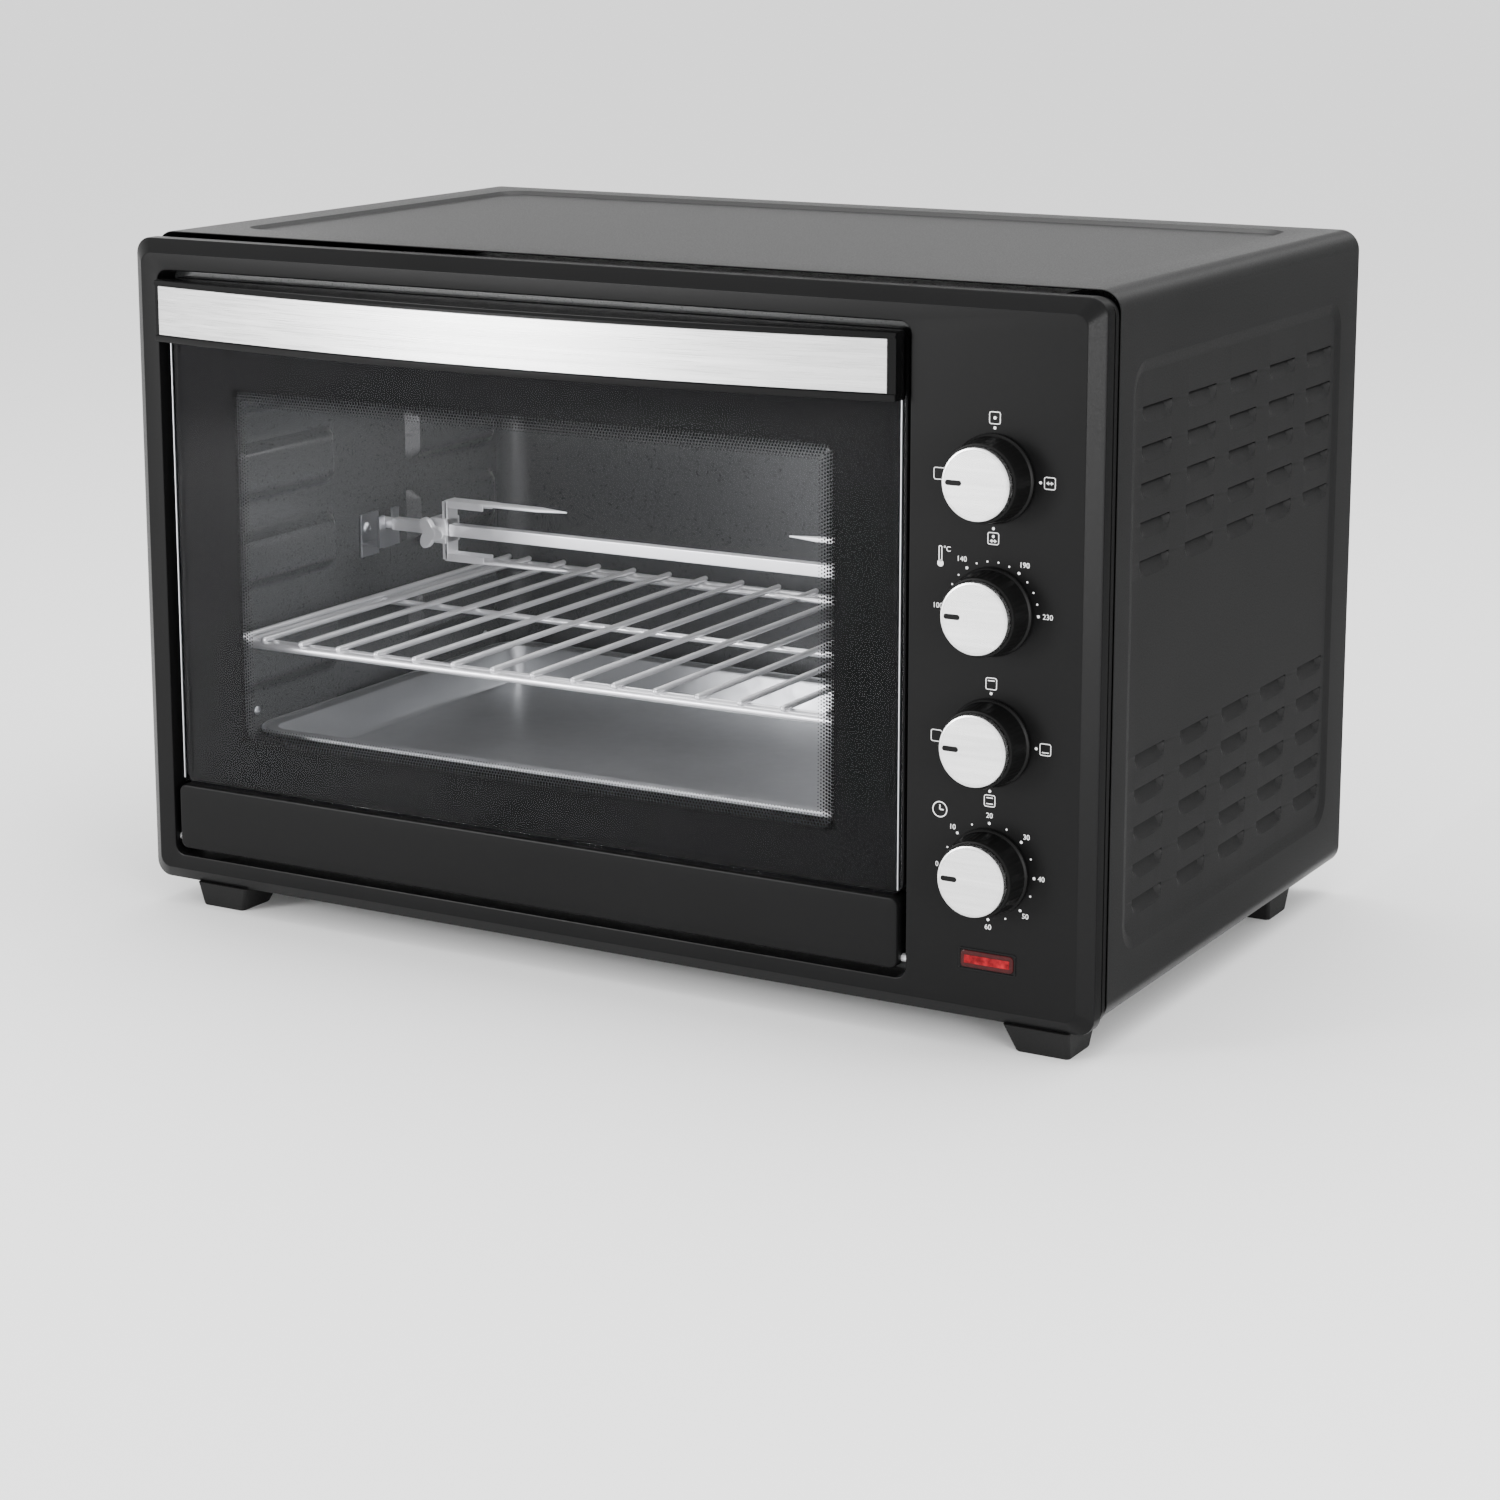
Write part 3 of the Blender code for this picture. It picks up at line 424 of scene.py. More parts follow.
def closed(bm, loops):
    """Join a row of loops and close both of its ends."""
    bridge(bm, loops)
    lid(bm, loops[0])
    lid(bm, loops[-1])


def absorb(bm, other):
    """Move another drawn shape into this one."""
    mesh = bpy.data.meshes.new("absorbed")
    other.to_mesh(mesh)
    other.free()
    bm.from_mesh(mesh)
    bpy.data.meshes.remove(mesh)
    return bm


def drawn_out(bm, points, along):
    """Draw a line through some points out into a sheet."""
    verts = [bm.verts.new(point) for point in points]
    lines = [bm.edges.new(pair) for pair in zip(verts, verts[1:])]
    grown = bmesh.ops.extrude_edge_only(bm, edges=lines)["geom"]
    bmesh.ops.translate(bm, vec=along, verts=[g for g in grown if isinstance(g, bmesh.types.BMVert)])
    bm.normal_update()


def face_towards(bm, axis, side):
    """Turn a sheet over if none of its faces looks along an axis, to one side."""
    bm.normal_update()
    if not any(f.normal[axis] * side > 0.99 for f in bm.faces):
        bmesh.ops.reverse_faces(bm, faces=bm.faces)


# %% [markdown]
# The fascia is a pressed steel frame: a flat face, a chamfered rim, a straight side land and
# a step down to the flange that the cover slips over. Seen from the front it is a stack of
# rounded rectangles, so it is drawn as loops, each at its own depth, bridged together. The
# last loops go through the door opening and back.

# %% Front fascia
opening_low = Vector((18.4, 0, 15.9))
opening_high = Vector((479.4, 0, 345.7))
FASCIA_RIM = ((7.9, 0.0, 6.0), (7.3, 0.15, 6.3), (0.9, 5.2, 8.4), (0.15, 6.0, 9.0), (0.0, 6.9, 9.0),
              (0.0, 13.6, 9.0), (0.4, 14.0, 8.8), (3.6, 14.0, 7.6), (3.6, 17.6, 7.6), (1.2, 17.6, 9.2),
              (1.2, 21.2, 9.2), (3.0, 22.0, 8.4), (3.0, 29.5, 8.4))


def fascia_loops(bm, steps):
    """Loops round the fascia, from the edge of its flat face to the end of its flange."""
    wide, high = fascia_high.x, fascia_high.z
    return [loop(bm, [(u, y, v) for u, v in arc_corners(inset, wide - inset, inset, high - inset, r, 8)])
            for inset, y, r in steps]


def opening_loop(bm, y, grow, radius):
    """A loop round the door opening."""
    return loop(bm, [(u, y, v) for u, v in arc_corners(
        opening_low.x - grow, opening_high.x + grow, opening_low.z - grow, opening_high.z + grow,
        radius, 8)])


fascia = bmesh.new()
rim = fascia_loops(fascia, FASCIA_RIM)
mouth = [opening_loop(fascia, 0.0, 1.0, 7.0), opening_loop(fascia, 0.3, 0.3, 6.3),
         opening_loop(fascia, 1.2, 0.0, 6.0), opening_loop(fascia, 15.0, 0.0, 6.0)]
bridge(fascia, rim)
bridge(fascia, mouth)
flat_ring(fascia, rim[0], mouth[0])
finish_piece("fascia_shell", outward(fascia), fascia_black, "housing", ["front_fascia"], wall=1.0)
print("fascia loops", len(rim) + len(mouth))

# %% [markdown]
# The cover is one sheet folded over the top and both sides. Its section is extruded from
# front to back; then each large face gets a shallow pressed panel with round corners. The
# face is opened, rounded loops step down into it, and the last loop is closed again.

# %% Cover section
COVER_BEND = 11.0
HEM = 18.0
BEND_STEPS = 8


def cover_section():
    """The folded sheet seen from the front, from one turned-in hem to the other."""
    left, right, low, high = cover_low.x, cover_high.x, cover_low.z, cover_high.z
    around = arc_corners(left, right, low, high, COVER_BEND, BEND_STEPS)
    quarter = BEND_STEPS + 1
    top, bottom = around[:2 * quarter], around[2 * quarter:]
    return [(right - HEM, low)] + bottom[quarter:] + top + bottom[:quarter] + [(left + HEM, low)]


def pressed_panel(bm, face, place, low, high, radius, slope, depth):
    """Open a flat face and step a rounded panel into it; returns the panel's own face."""
    edges = list(face.edges)
    bmesh.ops.delete(bm, geom=[face], context="FACES_ONLY")
    steps = ((0.0, 0.0), (0.12, 0.04), (0.5, 0.5), (0.88, 0.96), (1.0, 1.0))
    loops = [loop(bm, [place(u, v, drop * depth) for u, v in arc_corners(
        low[0] + across * slope, high[0] - across * slope, low[1] + across * slope,
        high[1] - across * slope, radius - across * slope)]) for across, drop in steps]
    flat_ring(bm, edges, loops[0])
    bridge(bm, loops)
    return lid(bm, loops[-1])


def largest_face(bm, axis, side):
    """The biggest face that looks along an axis, to one side."""
    facing = [f for f in bm.faces if f.normal[axis] * side > 0.99]
    return max(facing, key=lambda f: f.calc_area())


cover = bmesh.new()
drawn_out(cover, [(u, cover_low.y, v) for u, v in cover_section()], (0, cover_high.y - cover_low.y, 0))
face_towards(cover, 2, 1)
print("cover faces", len(cover.faces))

# %% [markdown]
# Each louvre is a slit with the metal below it pushed in, so that warm air leaves and
# fingers stay out. On the drawing, the pressed panel is cut by planes into rows and columns
# where louvres lie, the strip along each slit is taken out, and the points below a slit are
# pushed inwards, deepest at the slit and fading to the ends and to the bottom.

# %% Louvres
LOUVRE_MIDDLES = (72.8, 130.2, 185.8, 240.4, 294.9)
LOUVRE_ROWS = (303.8, 284.5, 266.1, 246.8, 227.7, 130.4, 112.6, 93.7, 74.5, 56.4)
LOUVRE_LENGTH, LOUVRE_HEIGHT, LOUVRE_DEPTH, SLIT = 37.0, 8.2, 3.6, 0.9
ACROSS_CUTS = (-1.0, -0.95, -0.88, -0.78, -0.6, -0.3, 0.0, 0.3, 0.6, 0.78, 0.88, 0.95, 1.0)
DOWN_CUTS = (0.0, 0.2, 0.4, 0.6, 0.8, 1.0)


def louvre_push(y, z):
    """How deep the metal is pushed in at a place on the side: an eyelid under each slit."""
    for middle in LOUVRE_MIDDLES:
        along = abs(y - middle) / (LOUVRE_LENGTH / 2)
        if along >= 0.999:
            continue
        lid_height = LOUVRE_HEIGHT * (1 - 0.5 * along ** 4)
        for top in LOUVRE_ROWS:
            down = (top - z) / lid_height
            if -0.001 <= down < 1:
                return LOUVRE_DEPTH * (1 - max(0.0, down)) * min(1.0, 2.0 * (1 - along ** 3))
    return 0.0


def cut_louvres(bm, panel, side):
    """Cut one side's panel into louvres and push them in."""
    panel_faces = {panel}

    def cut(axis, value):
        normal = Vector((0, 0, 0))
        normal[axis] = 1
        place = Vector((0, 0, 0))
        place[axis] = value
        faces = list(panel_faces)
        geom = faces + [e for e in {e for f in faces for e in f.edges}]
        geom += [v for v in {v for f in faces for v in f.verts}]
        got = bmesh.ops.bisect_plane(bm, geom=geom, plane_co=place, plane_no=normal, dist=0.001)
        panel_faces.clear()
        panel_faces.update(g for g in got["geom"] if isinstance(g, bmesh.types.BMFace))

    for middle in LOUVRE_MIDDLES:
        for share in ACROSS_CUTS:
            cut(1, middle + share * LOUVRE_LENGTH / 2)
    for top in LOUVRE_ROWS:
        cut(2, top + SLIT)
        for share in DOWN_CUTS:
            cut(2, top - share * LOUVRE_HEIGHT)
    slits = [f for f in panel_faces
             if any(top < f.calc_center_median().z < top + SLIT for top in LOUVRE_ROWS)
             and any(abs(f.calc_center_median().y - m) < LOUVRE_LENGTH / 2 for m in LOUVRE_MIDDLES)]
    keep = [f for f in panel_faces if f not in slits]
    bmesh.ops.delete(bm, geom=slits, context="FACES")
    for vert in {v for f in keep for v in f.verts}:
        vert.co.x -= side * louvre_push(vert.co.y, vert.co.z)
    return len(slits)


# %% Press the panels
TOP_PANEL = ((32.0, 54.0), (548.0, 330.0))
SIDE_PANEL = ((39.0, 32.0), (324.5, 328.5))
top_face = largest_face(cover, 2, 1)
pressed_panel(cover, top_face, lambda u, v, d: (u, v, cover_high.z - d), *TOP_PANEL, 16.0, 5.0, 2.0)
for side, x in ((1, cover_high.x), (-1, cover_low.x)):
    flank = largest_face(cover, 0, side)
    panel = pressed_panel(cover, flank, lambda u, v, d: (x - side * d, u, v), *SIDE_PANEL, 16.0, 7.0, 1.5)
    print("slits cut", cut_louvres(cover, panel, side))
finish_piece("cover_sheet", outward(cover), satin_black, "housing", ["top_cover"], wall=0.8, sharp=13.0)

# %% [markdown]
# The door is a sheet of glass on a pressed frame, with a deep trim bar below and the handle
# over its top. The glass is black where it is printed from behind; round the window the
# print breaks up into dots that get smaller, so that the edge looks soft.

# %% Door glass and its print
WINDOW_LOW, WINDOW_HIGH = Vector((63.0, 0, 85.0)), Vector((435.0, 0, 282.5))
WINDOW_RADIUS = 8.0
DOT_PITCH = 1.85
DOT_ROWS = 6


def slab(bm, low, high, bevel, segments=2):
    """A block between two corners with all its edges rounded."""
    made = bmesh.ops.create_cube(bm, size=1.0)["verts"]
    bmesh.ops.scale(bm, vec=Vector(high) - Vector(low), verts=made)
    bmesh.ops.translate(bm, vec=(Vector(high) + Vector(low)) / 2, verts=made)
    edges = list({e for v in made for e in v.link_edges})
    if bevel:
        bmesh.ops.bevel(bm, geom=edges, offset=bevel, offset_type="OFFSET", segments=segments,
                        profile=0.5, affect="EDGES", material=-1)
    return bm


glass = slab(bmesh.new(), glass_low, glass_high, 0.7)
finish_piece("door_pane", outward(glass), door_clear, "door", ["door_glass"])
glass_edges = bmesh.new()
for x in (glass_low.x + 0.1, glass_high.x - 0.6):
    slab(glass_edges, (x, glass_low.y - 0.08, glass_low.z + 3.0),
         (x + 0.5, glass_low.y + 0.8, glass_high.z - 3.0), 0.0)
finish_piece("door_glass_edges", outward(glass_edges), zinc, "door")

glass_print = bmesh.new()
print_y = glass_high.y + 0.15
sheet_edge = loop(glass_print, [(u, print_y, v) for u, v in arc_corners(
    glass_low.x + 1.2, glass_high.x - 1.2, glass_low.z + 0.4, glass_high.z - 1.0, 3.0)])
window_edge = loop(glass_print, [(u, print_y, v) for u, v in arc_corners(
    WINDOW_LOW.x, WINDOW_HIGH.x, WINDOW_LOW.z, WINDOW_HIGH.z, WINDOW_RADIUS)])
flat_ring(glass_print, sheet_edge, window_edge)
glass_print.normal_update()
if glass_print.faces[:][0].normal.y > 0:
    bmesh.ops.reverse_faces(glass_print, faces=glass_print.faces)
finish_piece("door_glass_print", glass_print, print_black, "door")


def print_dots(bm):
    """Rows of six-sided dots round the window, smaller and smaller towards its middle."""
    made = 0
    for row in range(DOT_ROWS):
        inset = (row + 0.35) * DOT_PITCH * 0.87
        radius = DOT_PITCH * (0.56 - 0.075 * row)
        wide = WINDOW_HIGH.x - WINDOW_LOW.x - 2 * inset
        tall = WINDOW_HIGH.z - WINDOW_LOW.z - 2 * inset
        across, up = round(wide / DOT_PITCH), round(tall / DOT_PITCH)
        shift = 0.5 * (row % 2)
        spots = [(WINDOW_LOW.x + inset + wide * (k + shift) / across, z)
                 for k in range(across) for z in (WINDOW_LOW.z + inset, WINDOW_HIGH.z - inset)]
        spots += [(x, WINDOW_LOW.z + inset + tall * (k + shift) / up)
                  for k in range(up) for x in (WINDOW_LOW.x + inset, WINDOW_HIGH.x - inset)]
        for u, v in spots:
            dot = bmesh.ops.create_circle(bm, cap_ends=True, segments=6, radius=radius)["verts"]
            turn = Matrix.Translation((u, print_y, v)) @ Matrix.Rotation(math.pi / 2, 4, "X")
            bmesh.ops.transform(bm, matrix=turn, verts=dot)
            made += 1
    return made


dots = bmesh.new()
print("dots", print_dots(dots))
finish_piece("door_glass_dots", dots, print_black, "door")

# %% [markdown]
# Behind the glass is the pressed inner frame of the door: a flat ring with a turned-back
# edge outside and a turned-back lip round the window. It is what one sees with the door
# open.

# %% Door inner frame
frame_low, frame_high = box_mm("door_frame")
door_frame = bmesh.new()
FRAME_STEPS = ((3.0, 13.6), (0.6, 14.0), (0.0, 13.4), (0.0, 7.2), (0.5, 6.6), (3.0, 6.5))


def ring_loop(bm, low, high, y, inset, radius):
    """A rounded loop standing at depth y, set in from two corners."""
    return loop(bm, [(u, y, v) for u, v in arc_corners(
        low.x + inset, high.x - inset, low.z + inset, high.z - inset, radius)])


outer = [ring_loop(door_frame, frame_low, frame_high, y, inset, max(1.0, 6.0 - inset))
         for inset, y in FRAME_STEPS[::-1]]
inner = [ring_loop(door_frame, WINDOW_LOW, WINDOW_HIGH, y, -grow, 8.0 + grow)
         for grow, y in ((6.0, 6.5), (3.6, 6.7), (3.0, 7.3), (3.0, 13.2), (3.4, 13.9), (12.0, 14.0))]
bridge(door_frame, inner)
bridge(door_frame, outer)
flat_ring(door_frame, outer[0], inner[0])
finish_piece("door_inner_frame", outward(door_frame), fascia_black, "door", ["door_frame"], wall=0.5)

# %% Door bottom trim
bottom_trim = bmesh.new()
TRIM_STEPS = ((8.0, -0.8), (1.6, -0.8), (0.6, -0.45), (0.1, 0.4), (0.0, 1.4), (0.0, 13.4), (0.5, 13.9))
trim_loops = [ring_loop(bottom_trim, trim_low, trim_high, y, inset, max(1.2, 4.5 - inset))
              for inset, y in TRIM_STEPS]
closed(bottom_trim, trim_loops)
finish_piece("door_trim_bar", outward(bottom_trim), fascia_black, "door", ["door_bottom_trim"])
print("door pieces done")

# %% [markdown]
# The handle bows forward between its ends so that a hand fits behind it. Its section, a
# channel open below, is swept from the left end to the right: each step is extruded and its
# front points are moved by the bow.

# %% Handle
BOW_STEPS = 32
END_REACH = 8.2
STRIP_LOW, STRIP_HIGH = 311.5, 338.1


def bow(x):
    """How far the handle's face stands forward of the fascia at x."""
    middle, half = (grip_low.x + grip_high.x) / 2, (grip_high.x - grip_low.x) / 2
    return -END_REACH + (grip_low.y + END_REACH) * (1 - ((x - middle) / half) ** 2)


def sweep(bm, section, left, right):
    """Repeat a section of (does it bow, y, z) points from left to right and join it up."""
    places = [left + (right - left) * k / BOW_STEPS for k in range(BOW_STEPS + 1)]
    loops = [loop(bm, [(x, y + (bow(x) if bows else 0), z) for bows, y, z in section])
             for x in places]
    closed(bm, loops)
    return bm


GRIP_WALL = 3.0
low_z, top_z, back_y = grip_low.z, grip_high.z, grip_high.y
GRIP_OUTSIDE = ((False, back_y, low_z), (False, back_y, top_z - 0.6), (False, back_y - 0.6, top_z),
                (True, 2.6, top_z), (True, 0.9, top_z - 0.6), (True, 0.0, top_z - 2.0),
                (True, 0.0, STRIP_HIGH + 0.5), (True, 1.0, STRIP_HIGH + 0.3),
                (True, 1.0, STRIP_LOW - 0.3), (True, 0.0, STRIP_LOW - 0.5),
                (True, 0.0, low_z + 1.2), (True, 0.5, low_z + 0.3), (True, 1.2, low_z))
GRIP_INSIDE = ((True, GRIP_WALL - 0.6, low_z), (True, GRIP_WALL, low_z + 0.8),
               (True, GRIP_WALL, top_z - GRIP_WALL), (False, back_y - 1.6, top_z - GRIP_WALL),
               (False, back_y - 1.6, low_z))
grip = sweep(bmesh.new(), GRIP_OUTSIDE + GRIP_INSIDE, grip_low.x, grip_high.x)
END_FILL = ((False, back_y - 0.2, low_z + 0.3), (False, back_y - 0.2, top_z - 1.0),
            (True, 3.2, top_z - 1.0), (True, 1.2, top_z - 2.6), (True, 1.2, low_z + 0.3))
for left, right in ((grip_low.x + 0.2, grip_low.x + 8.0), (grip_high.x - 8.0, grip_high.x - 0.2)):
    sweep(grip, END_FILL, left, right)
finish_piece("handle_grip_shell", outward(grip), grip_black, "door", ["handle_grip"])

strip = sweep(bmesh.new(), ((True, 1.0, STRIP_LOW), (True, 0.25, STRIP_LOW), (True, 0.0, STRIP_LOW + 0.3),
                            (True, 0.0, STRIP_HIGH - 0.3), (True, 0.25, STRIP_HIGH),
                            (True, 1.0, STRIP_HIGH)), grip_low.x + 3.4, grip_high.x - 4.1)
finish_piece("handle_steel_strip", outward(strip), brushed_steel, "door", ["handle_strip"])
print("handle bows", round(-grip_low.y - END_REACH, 1), "mm")

# %% [markdown]
# A knob is turned about its spindle: a profile of distance and radius is spun once round.
# The grip's fine flutes are waves pressed into the spun wall, and the steel face is a thin
# cap with a turned groove near its edge and a dark marker let into it.

# %% Knobs
KNOB_STEPS = 144
FLUTES = 48
FLUTE_DEPTH = 0.32


def turn_profile(bm, profile, steps):
    """Spin (distance along y, radius) points once round the y axis."""
    verts = [bm.verts.new((radius, along, 0)) for along, radius in profile]
    edges = [bm.edges.new(pair) for pair in zip(verts, verts[1:])]
    bmesh.ops.spin(bm, geom=verts + edges, cent=(0, 0, 0), axis=(0, 1, 0), angle=2 * math.pi,
                   steps=steps, use_merge=True)
    return outward(bm)


def knob(name, centre):
    """Grip, steel face and marker of one knob, on its own body."""
    back, front = -1.0, box_mm(name + "_knob")[0].y
    face = box_mm(name + "_knob_cap")[0].y
    grip = turn_profile(bmesh.new(), (
        (back, 0.0), (back, 21.6), (back - 0.3, 21.9), (back - 1.5, 21.9), (back - 2.0, 21.5),
        (back - 2.4, 20.9), (back - 3.2, 20.8), (front + 2.0, 19.9), (front + 0.8, 19.6),
        (front + 0.2, 19.3), (front, 18.9), (front, 18.25), (front + 0.5, 18.2), (front + 0.5, 0.0)),
        KNOB_STEPS)
    for vert in grip.verts:
        if front + 1.5 < vert.co.y < back - 3.0:
            around = math.atan2(vert.co.z, vert.co.x)
            vert.co -= Vector((vert.co.x, 0, vert.co.z)).normalized() * FLUTE_DEPTH * (
                0.5 + 0.5 * math.cos(FLUTES * around))
    cap = turn_profile(bmesh.new(), (
        (front + 0.4, 0.0), (front + 0.4, 17.9), (face + 0.7, 17.9), (face + 0.2, 17.7),
        (face, 17.2), (face, 16.7), (face + 0.22, 16.6), (face + 0.22, 16.3), (face, 16.2),
        (face, 0.0)), 96)
    marker = bmesh.new()
    pill = arc_corners(-16.0, -7.3, -1.35, 1.35, 1.34, 6)
    edges = [loop(marker, [(u, y, v) for u, v in pill]) for y in (face - 0.02, face + 0.4)]
    closed(marker, edges)
    body = name + "_control"
    for suffix, bm, finish, node in (("grip", grip, knob_black, "_knob"),
                                     ("face", cap, spun(name + "_spun_steel", centre), "_knob_cap"),
                                     ("marker", outward(marker), knob_black, None)):
        bmesh.ops.translate(bm, vec=centre, verts=bm.verts)
        stands_for = [name + node] if node else []
        finish_piece(name + "_knob_" + suffix, bm, finish, body, stands_for)


knob_centres = {}
for name in ("function", "temperature", "heat", "timer"):
    low, high = box_mm(name + "_knob_cap")
    knob_centres[name] = Vector(((low.x + high.x) / 2, 0, (low.z + high.z) / 2))
    knob(name, knob_centres[name])
print("knobs at", {name: round(c.z, 1) for name, c in knob_centres.items()})

# %% [markdown]
# The dials are printed on the panel in white. Print has almost no thickness, so each mark
# is a sheet that stands a tenth of a millimetre off the paint: dots, small frames, arrows,
# and numbers made from text that is turned into a mesh.

# %% Marks
PRINT_LIFT = -0.1
DOT_RING, ICON_RING = 24.45, 29.3
ICON_SIZE, ICON_LINE = 6.1, 0.40
NUMBER_SIZE = 3.7


def mark_dot(bm, centre, radius, segments=16):
    """A filled round dot on the panel."""
    verts = bmesh.ops.create_circle(bm, cap_ends=True, segments=segments, radius=radius)["verts"]
    turn = Matrix.Translation((centre.x, PRINT_LIFT, centre.z)) @ Matrix.Rotation(math.pi / 2, 4, "X")
    bmesh.ops.transform(bm, matrix=turn, verts=verts)


def mark_outline(bm, centre, wide, high, radius, line):
    """A frame of even line width on the panel."""
    loops = [loop(bm, [(centre.x + u, PRINT_LIFT, centre.z + v) for u, v in arc_corners(
        -wide / 2 + inset, wide / 2 - inset, -high / 2 + inset, high / 2 - inset,
        max(0.15, radius - inset), 4)]) for inset in (0.0, line)]
    flat_ring(bm, loops[0], loops[1])


def mark_bar(bm, centre, wide, high):
    """A filled bar on the panel."""
    edges = loop(bm, [(centre.x + u * wide / 2, PRINT_LIFT, centre.z + v * high / 2)
                      for u, v in ((-1, -1), (1, -1), (1, 1), (-1, 1))])
    lid(bm, edges)


def mark_arrow(bm, centre, wide):
    """A double-headed arrow lying along x."""
    mark_bar(bm, centre, wide * 0.5, 0.5)
    for side in (-1, 1):
        tip = centre + Vector((side * wide / 2, 0, 0))
        lid(bm, loop(bm, [(tip.x, PRINT_LIFT, tip.z), (tip.x - side * 1.3, PRINT_LIFT, tip.z + 0.95),
                          (tip.x - side * 1.3, PRINT_LIFT, tip.z - 0.95)]))


def mark_text(bm, words, centre, size):
    """Numbers or a unit, centred on a place."""
    curve = bpy.data.curves.new("dial_words", "FONT")
    curve.body, curve.size = words, size
    curve.align_x, curve.align_y = "CENTER", "CENTER"
    typed = bpy.data.objects.new("dial_words", curve)
    mesh = bpy.data.meshes.new_from_object(typed)
    mesh.transform(Matrix.Translation((centre.x, PRINT_LIFT, centre.z)) @ Matrix.Rotation(math.pi / 2, 4, "X"))
    bm.from_mesh(mesh)
    bpy.data.meshes.remove(mesh)
    bpy.data.objects.remove(typed)
    bpy.data.curves.remove(curve)


def round_dial(centre, radius, degrees):
    """A place on a ring round a knob; 0 degrees is at the right, 90 at the top."""
    angle = math.radians(degrees)
    return centre + Vector((radius * math.cos(angle), 0, radius * math.sin(angle)))


# %% The four dials
def function_marks(bm, centre):
    """Plain, rotisserie, fan, and rotisserie with fan."""
    for degrees in (0, 90, 180, 270):
        mark_dot(bm, round_dial(centre, DOT_RING, degrees), 0.75)
        mark_outline(bm, round_dial(centre, ICON_RING, degrees), ICON_SIZE, ICON_SIZE, 1.1, ICON_LINE)
    mark_dot(bm, round_dial(centre, ICON_RING, 90), 0.8)
    mark_arrow(bm, round_dial(centre, ICON_RING, 0), 3.8)
    below = round_dial(centre, ICON_RING, 270)
    mark_dot(bm, below + Vector((0, 0, 1.0)), 0.75)
    mark_arrow(bm, below + Vector((0, 0, -1.2)), 3.8)


def heat_marks(bm, centre):
    """Off, upper, lower, and both elements, as bars inside a frame."""
    for degrees in (0, 90, 180, 270):
        mark_dot(bm, round_dial(centre, DOT_RING, degrees), 0.75)
        mark_outline(bm, round_dial(centre, ICON_RING, degrees), ICON_SIZE, ICON_SIZE, 1.1, ICON_LINE)
    for degrees, heights in ((90, (1.5,)), (0, (-1.5,)), (270, (1.5, -1.5))):
        for height in heights:
            mark_bar(bm, round_dial(centre, ICON_RING, degrees) + Vector((0, 0, height)), 3.6, 0.45)


def number_marks(bm, centre, numbers, last, dots, ring):
    """Dots over a sweep that starts at the left, the bigger ones with a number outside."""
    for k in range(dots):
        degrees = 180 + (last - 180) * k / (dots - 1)
        mark_dot(bm, round_dial(centre, DOT_RING, degrees), 0.75 if k in numbers else 0.5)
        if k in numbers:
            mark_text(bm, str(numbers[k]), round_dial(centre, ring, degrees), NUMBER_SIZE)


marks = {name: bmesh.new() for name in knob_centres}
function_marks(marks["function"], knob_centres["function"])
heat_marks(marks["heat"], knob_centres["heat"])
number_marks(marks["temperature"], knob_centres["temperature"],
             {0: 100, 4: 140, 9: 190, 13: 230}, 0, 14, 29.4)
number_marks(marks["timer"], knob_centres["timer"],
             {2 * k: 10 * k for k in range(7)}, -90, 13, 28.3)
thermometer = knob_centres["temperature"] + Vector((-28.2, 0, 24.3))
mark_outline(marks["temperature"], thermometer + Vector((0, 0, 1.6)), 1.9, 8.0, 0.9, 0.45)
mark_dot(marks["temperature"], thermometer + Vector((0, 0, -3.2)), 1.7)
mark_text(marks["temperature"], "\u00b0C", thermometer + Vector((3.6, 0, 4.0)), 3.6)
clock = knob_centres["timer"] + Vector((-27.0, 0, 28.0))
mark_outline(marks["timer"], clock, 8.2, 8.2, 4.09, 0.5)
mark_bar(marks["timer"], clock + Vector((0, 0, 1.2)), 0.6, 2.4)
mark_bar(marks["timer"], clock + Vector((1.0, 0, 0)), 2.0, 0.6)
for name, bm in marks.items():
    bm.normal_update()
    bmesh.ops.reverse_faces(bm, faces=[f for f in bm.faces if f.normal.y > 0])
    finish_piece(name + "_dial_print", bm, print_white, "housing")
print("dials printed")

# %% Indicator
lens_low, lens_high = box_mm("indicator_lens")
bezel = bmesh.new()
bezel_loops = [ring_loop(bezel, lens_low, lens_high, y, inset, radius)
               for inset, y, radius in ((-1.3, -0.05, 1.6), (-1.2, -0.4, 1.5), (-0.35, -0.4, 0.8),
                                        (-0.1, -0.1, 0.6), (-0.1, 2.0, 0.6))]
bridge(bezel, bezel_loops)
finish_piece("indicator_bezel", outward(bezel), grip_black, "housing")
lens = bmesh.new()
lens_loops = [ring_loop(lens, lens_low, lens_high, y, inset, 2.2 - inset)
              for inset, y in ((0.0, 6.0), (0.0, 0.2), (0.3, -0.3), (0.8, -0.5))]
closed(lens, lens_loops)
finish_piece("indicator_window", outward(lens), red_lens, "housing", ["indicator_lens"])
core = slab(bmesh.new(), (lens_low.x + 2.2, -0.75, lens_low.z + 2.4),
            (lens_high.x - 2.2, -0.3, lens_high.z - 2.4), 0.2)
finish_piece("indicator_core", outward(core), red_core, "housing")
print("indicator", [round(v, 1) for v in lens_high - lens_low])

# %% [markdown]
# The oven's cavity is pressed from enamelled sheet. Each side wall has two rows of ribs that
# stand inwards; racks and trays slide on their upper slopes. A fine grid is pushed inwards
# wherever a rib lies, with soft edges, as a press would draw the metal.

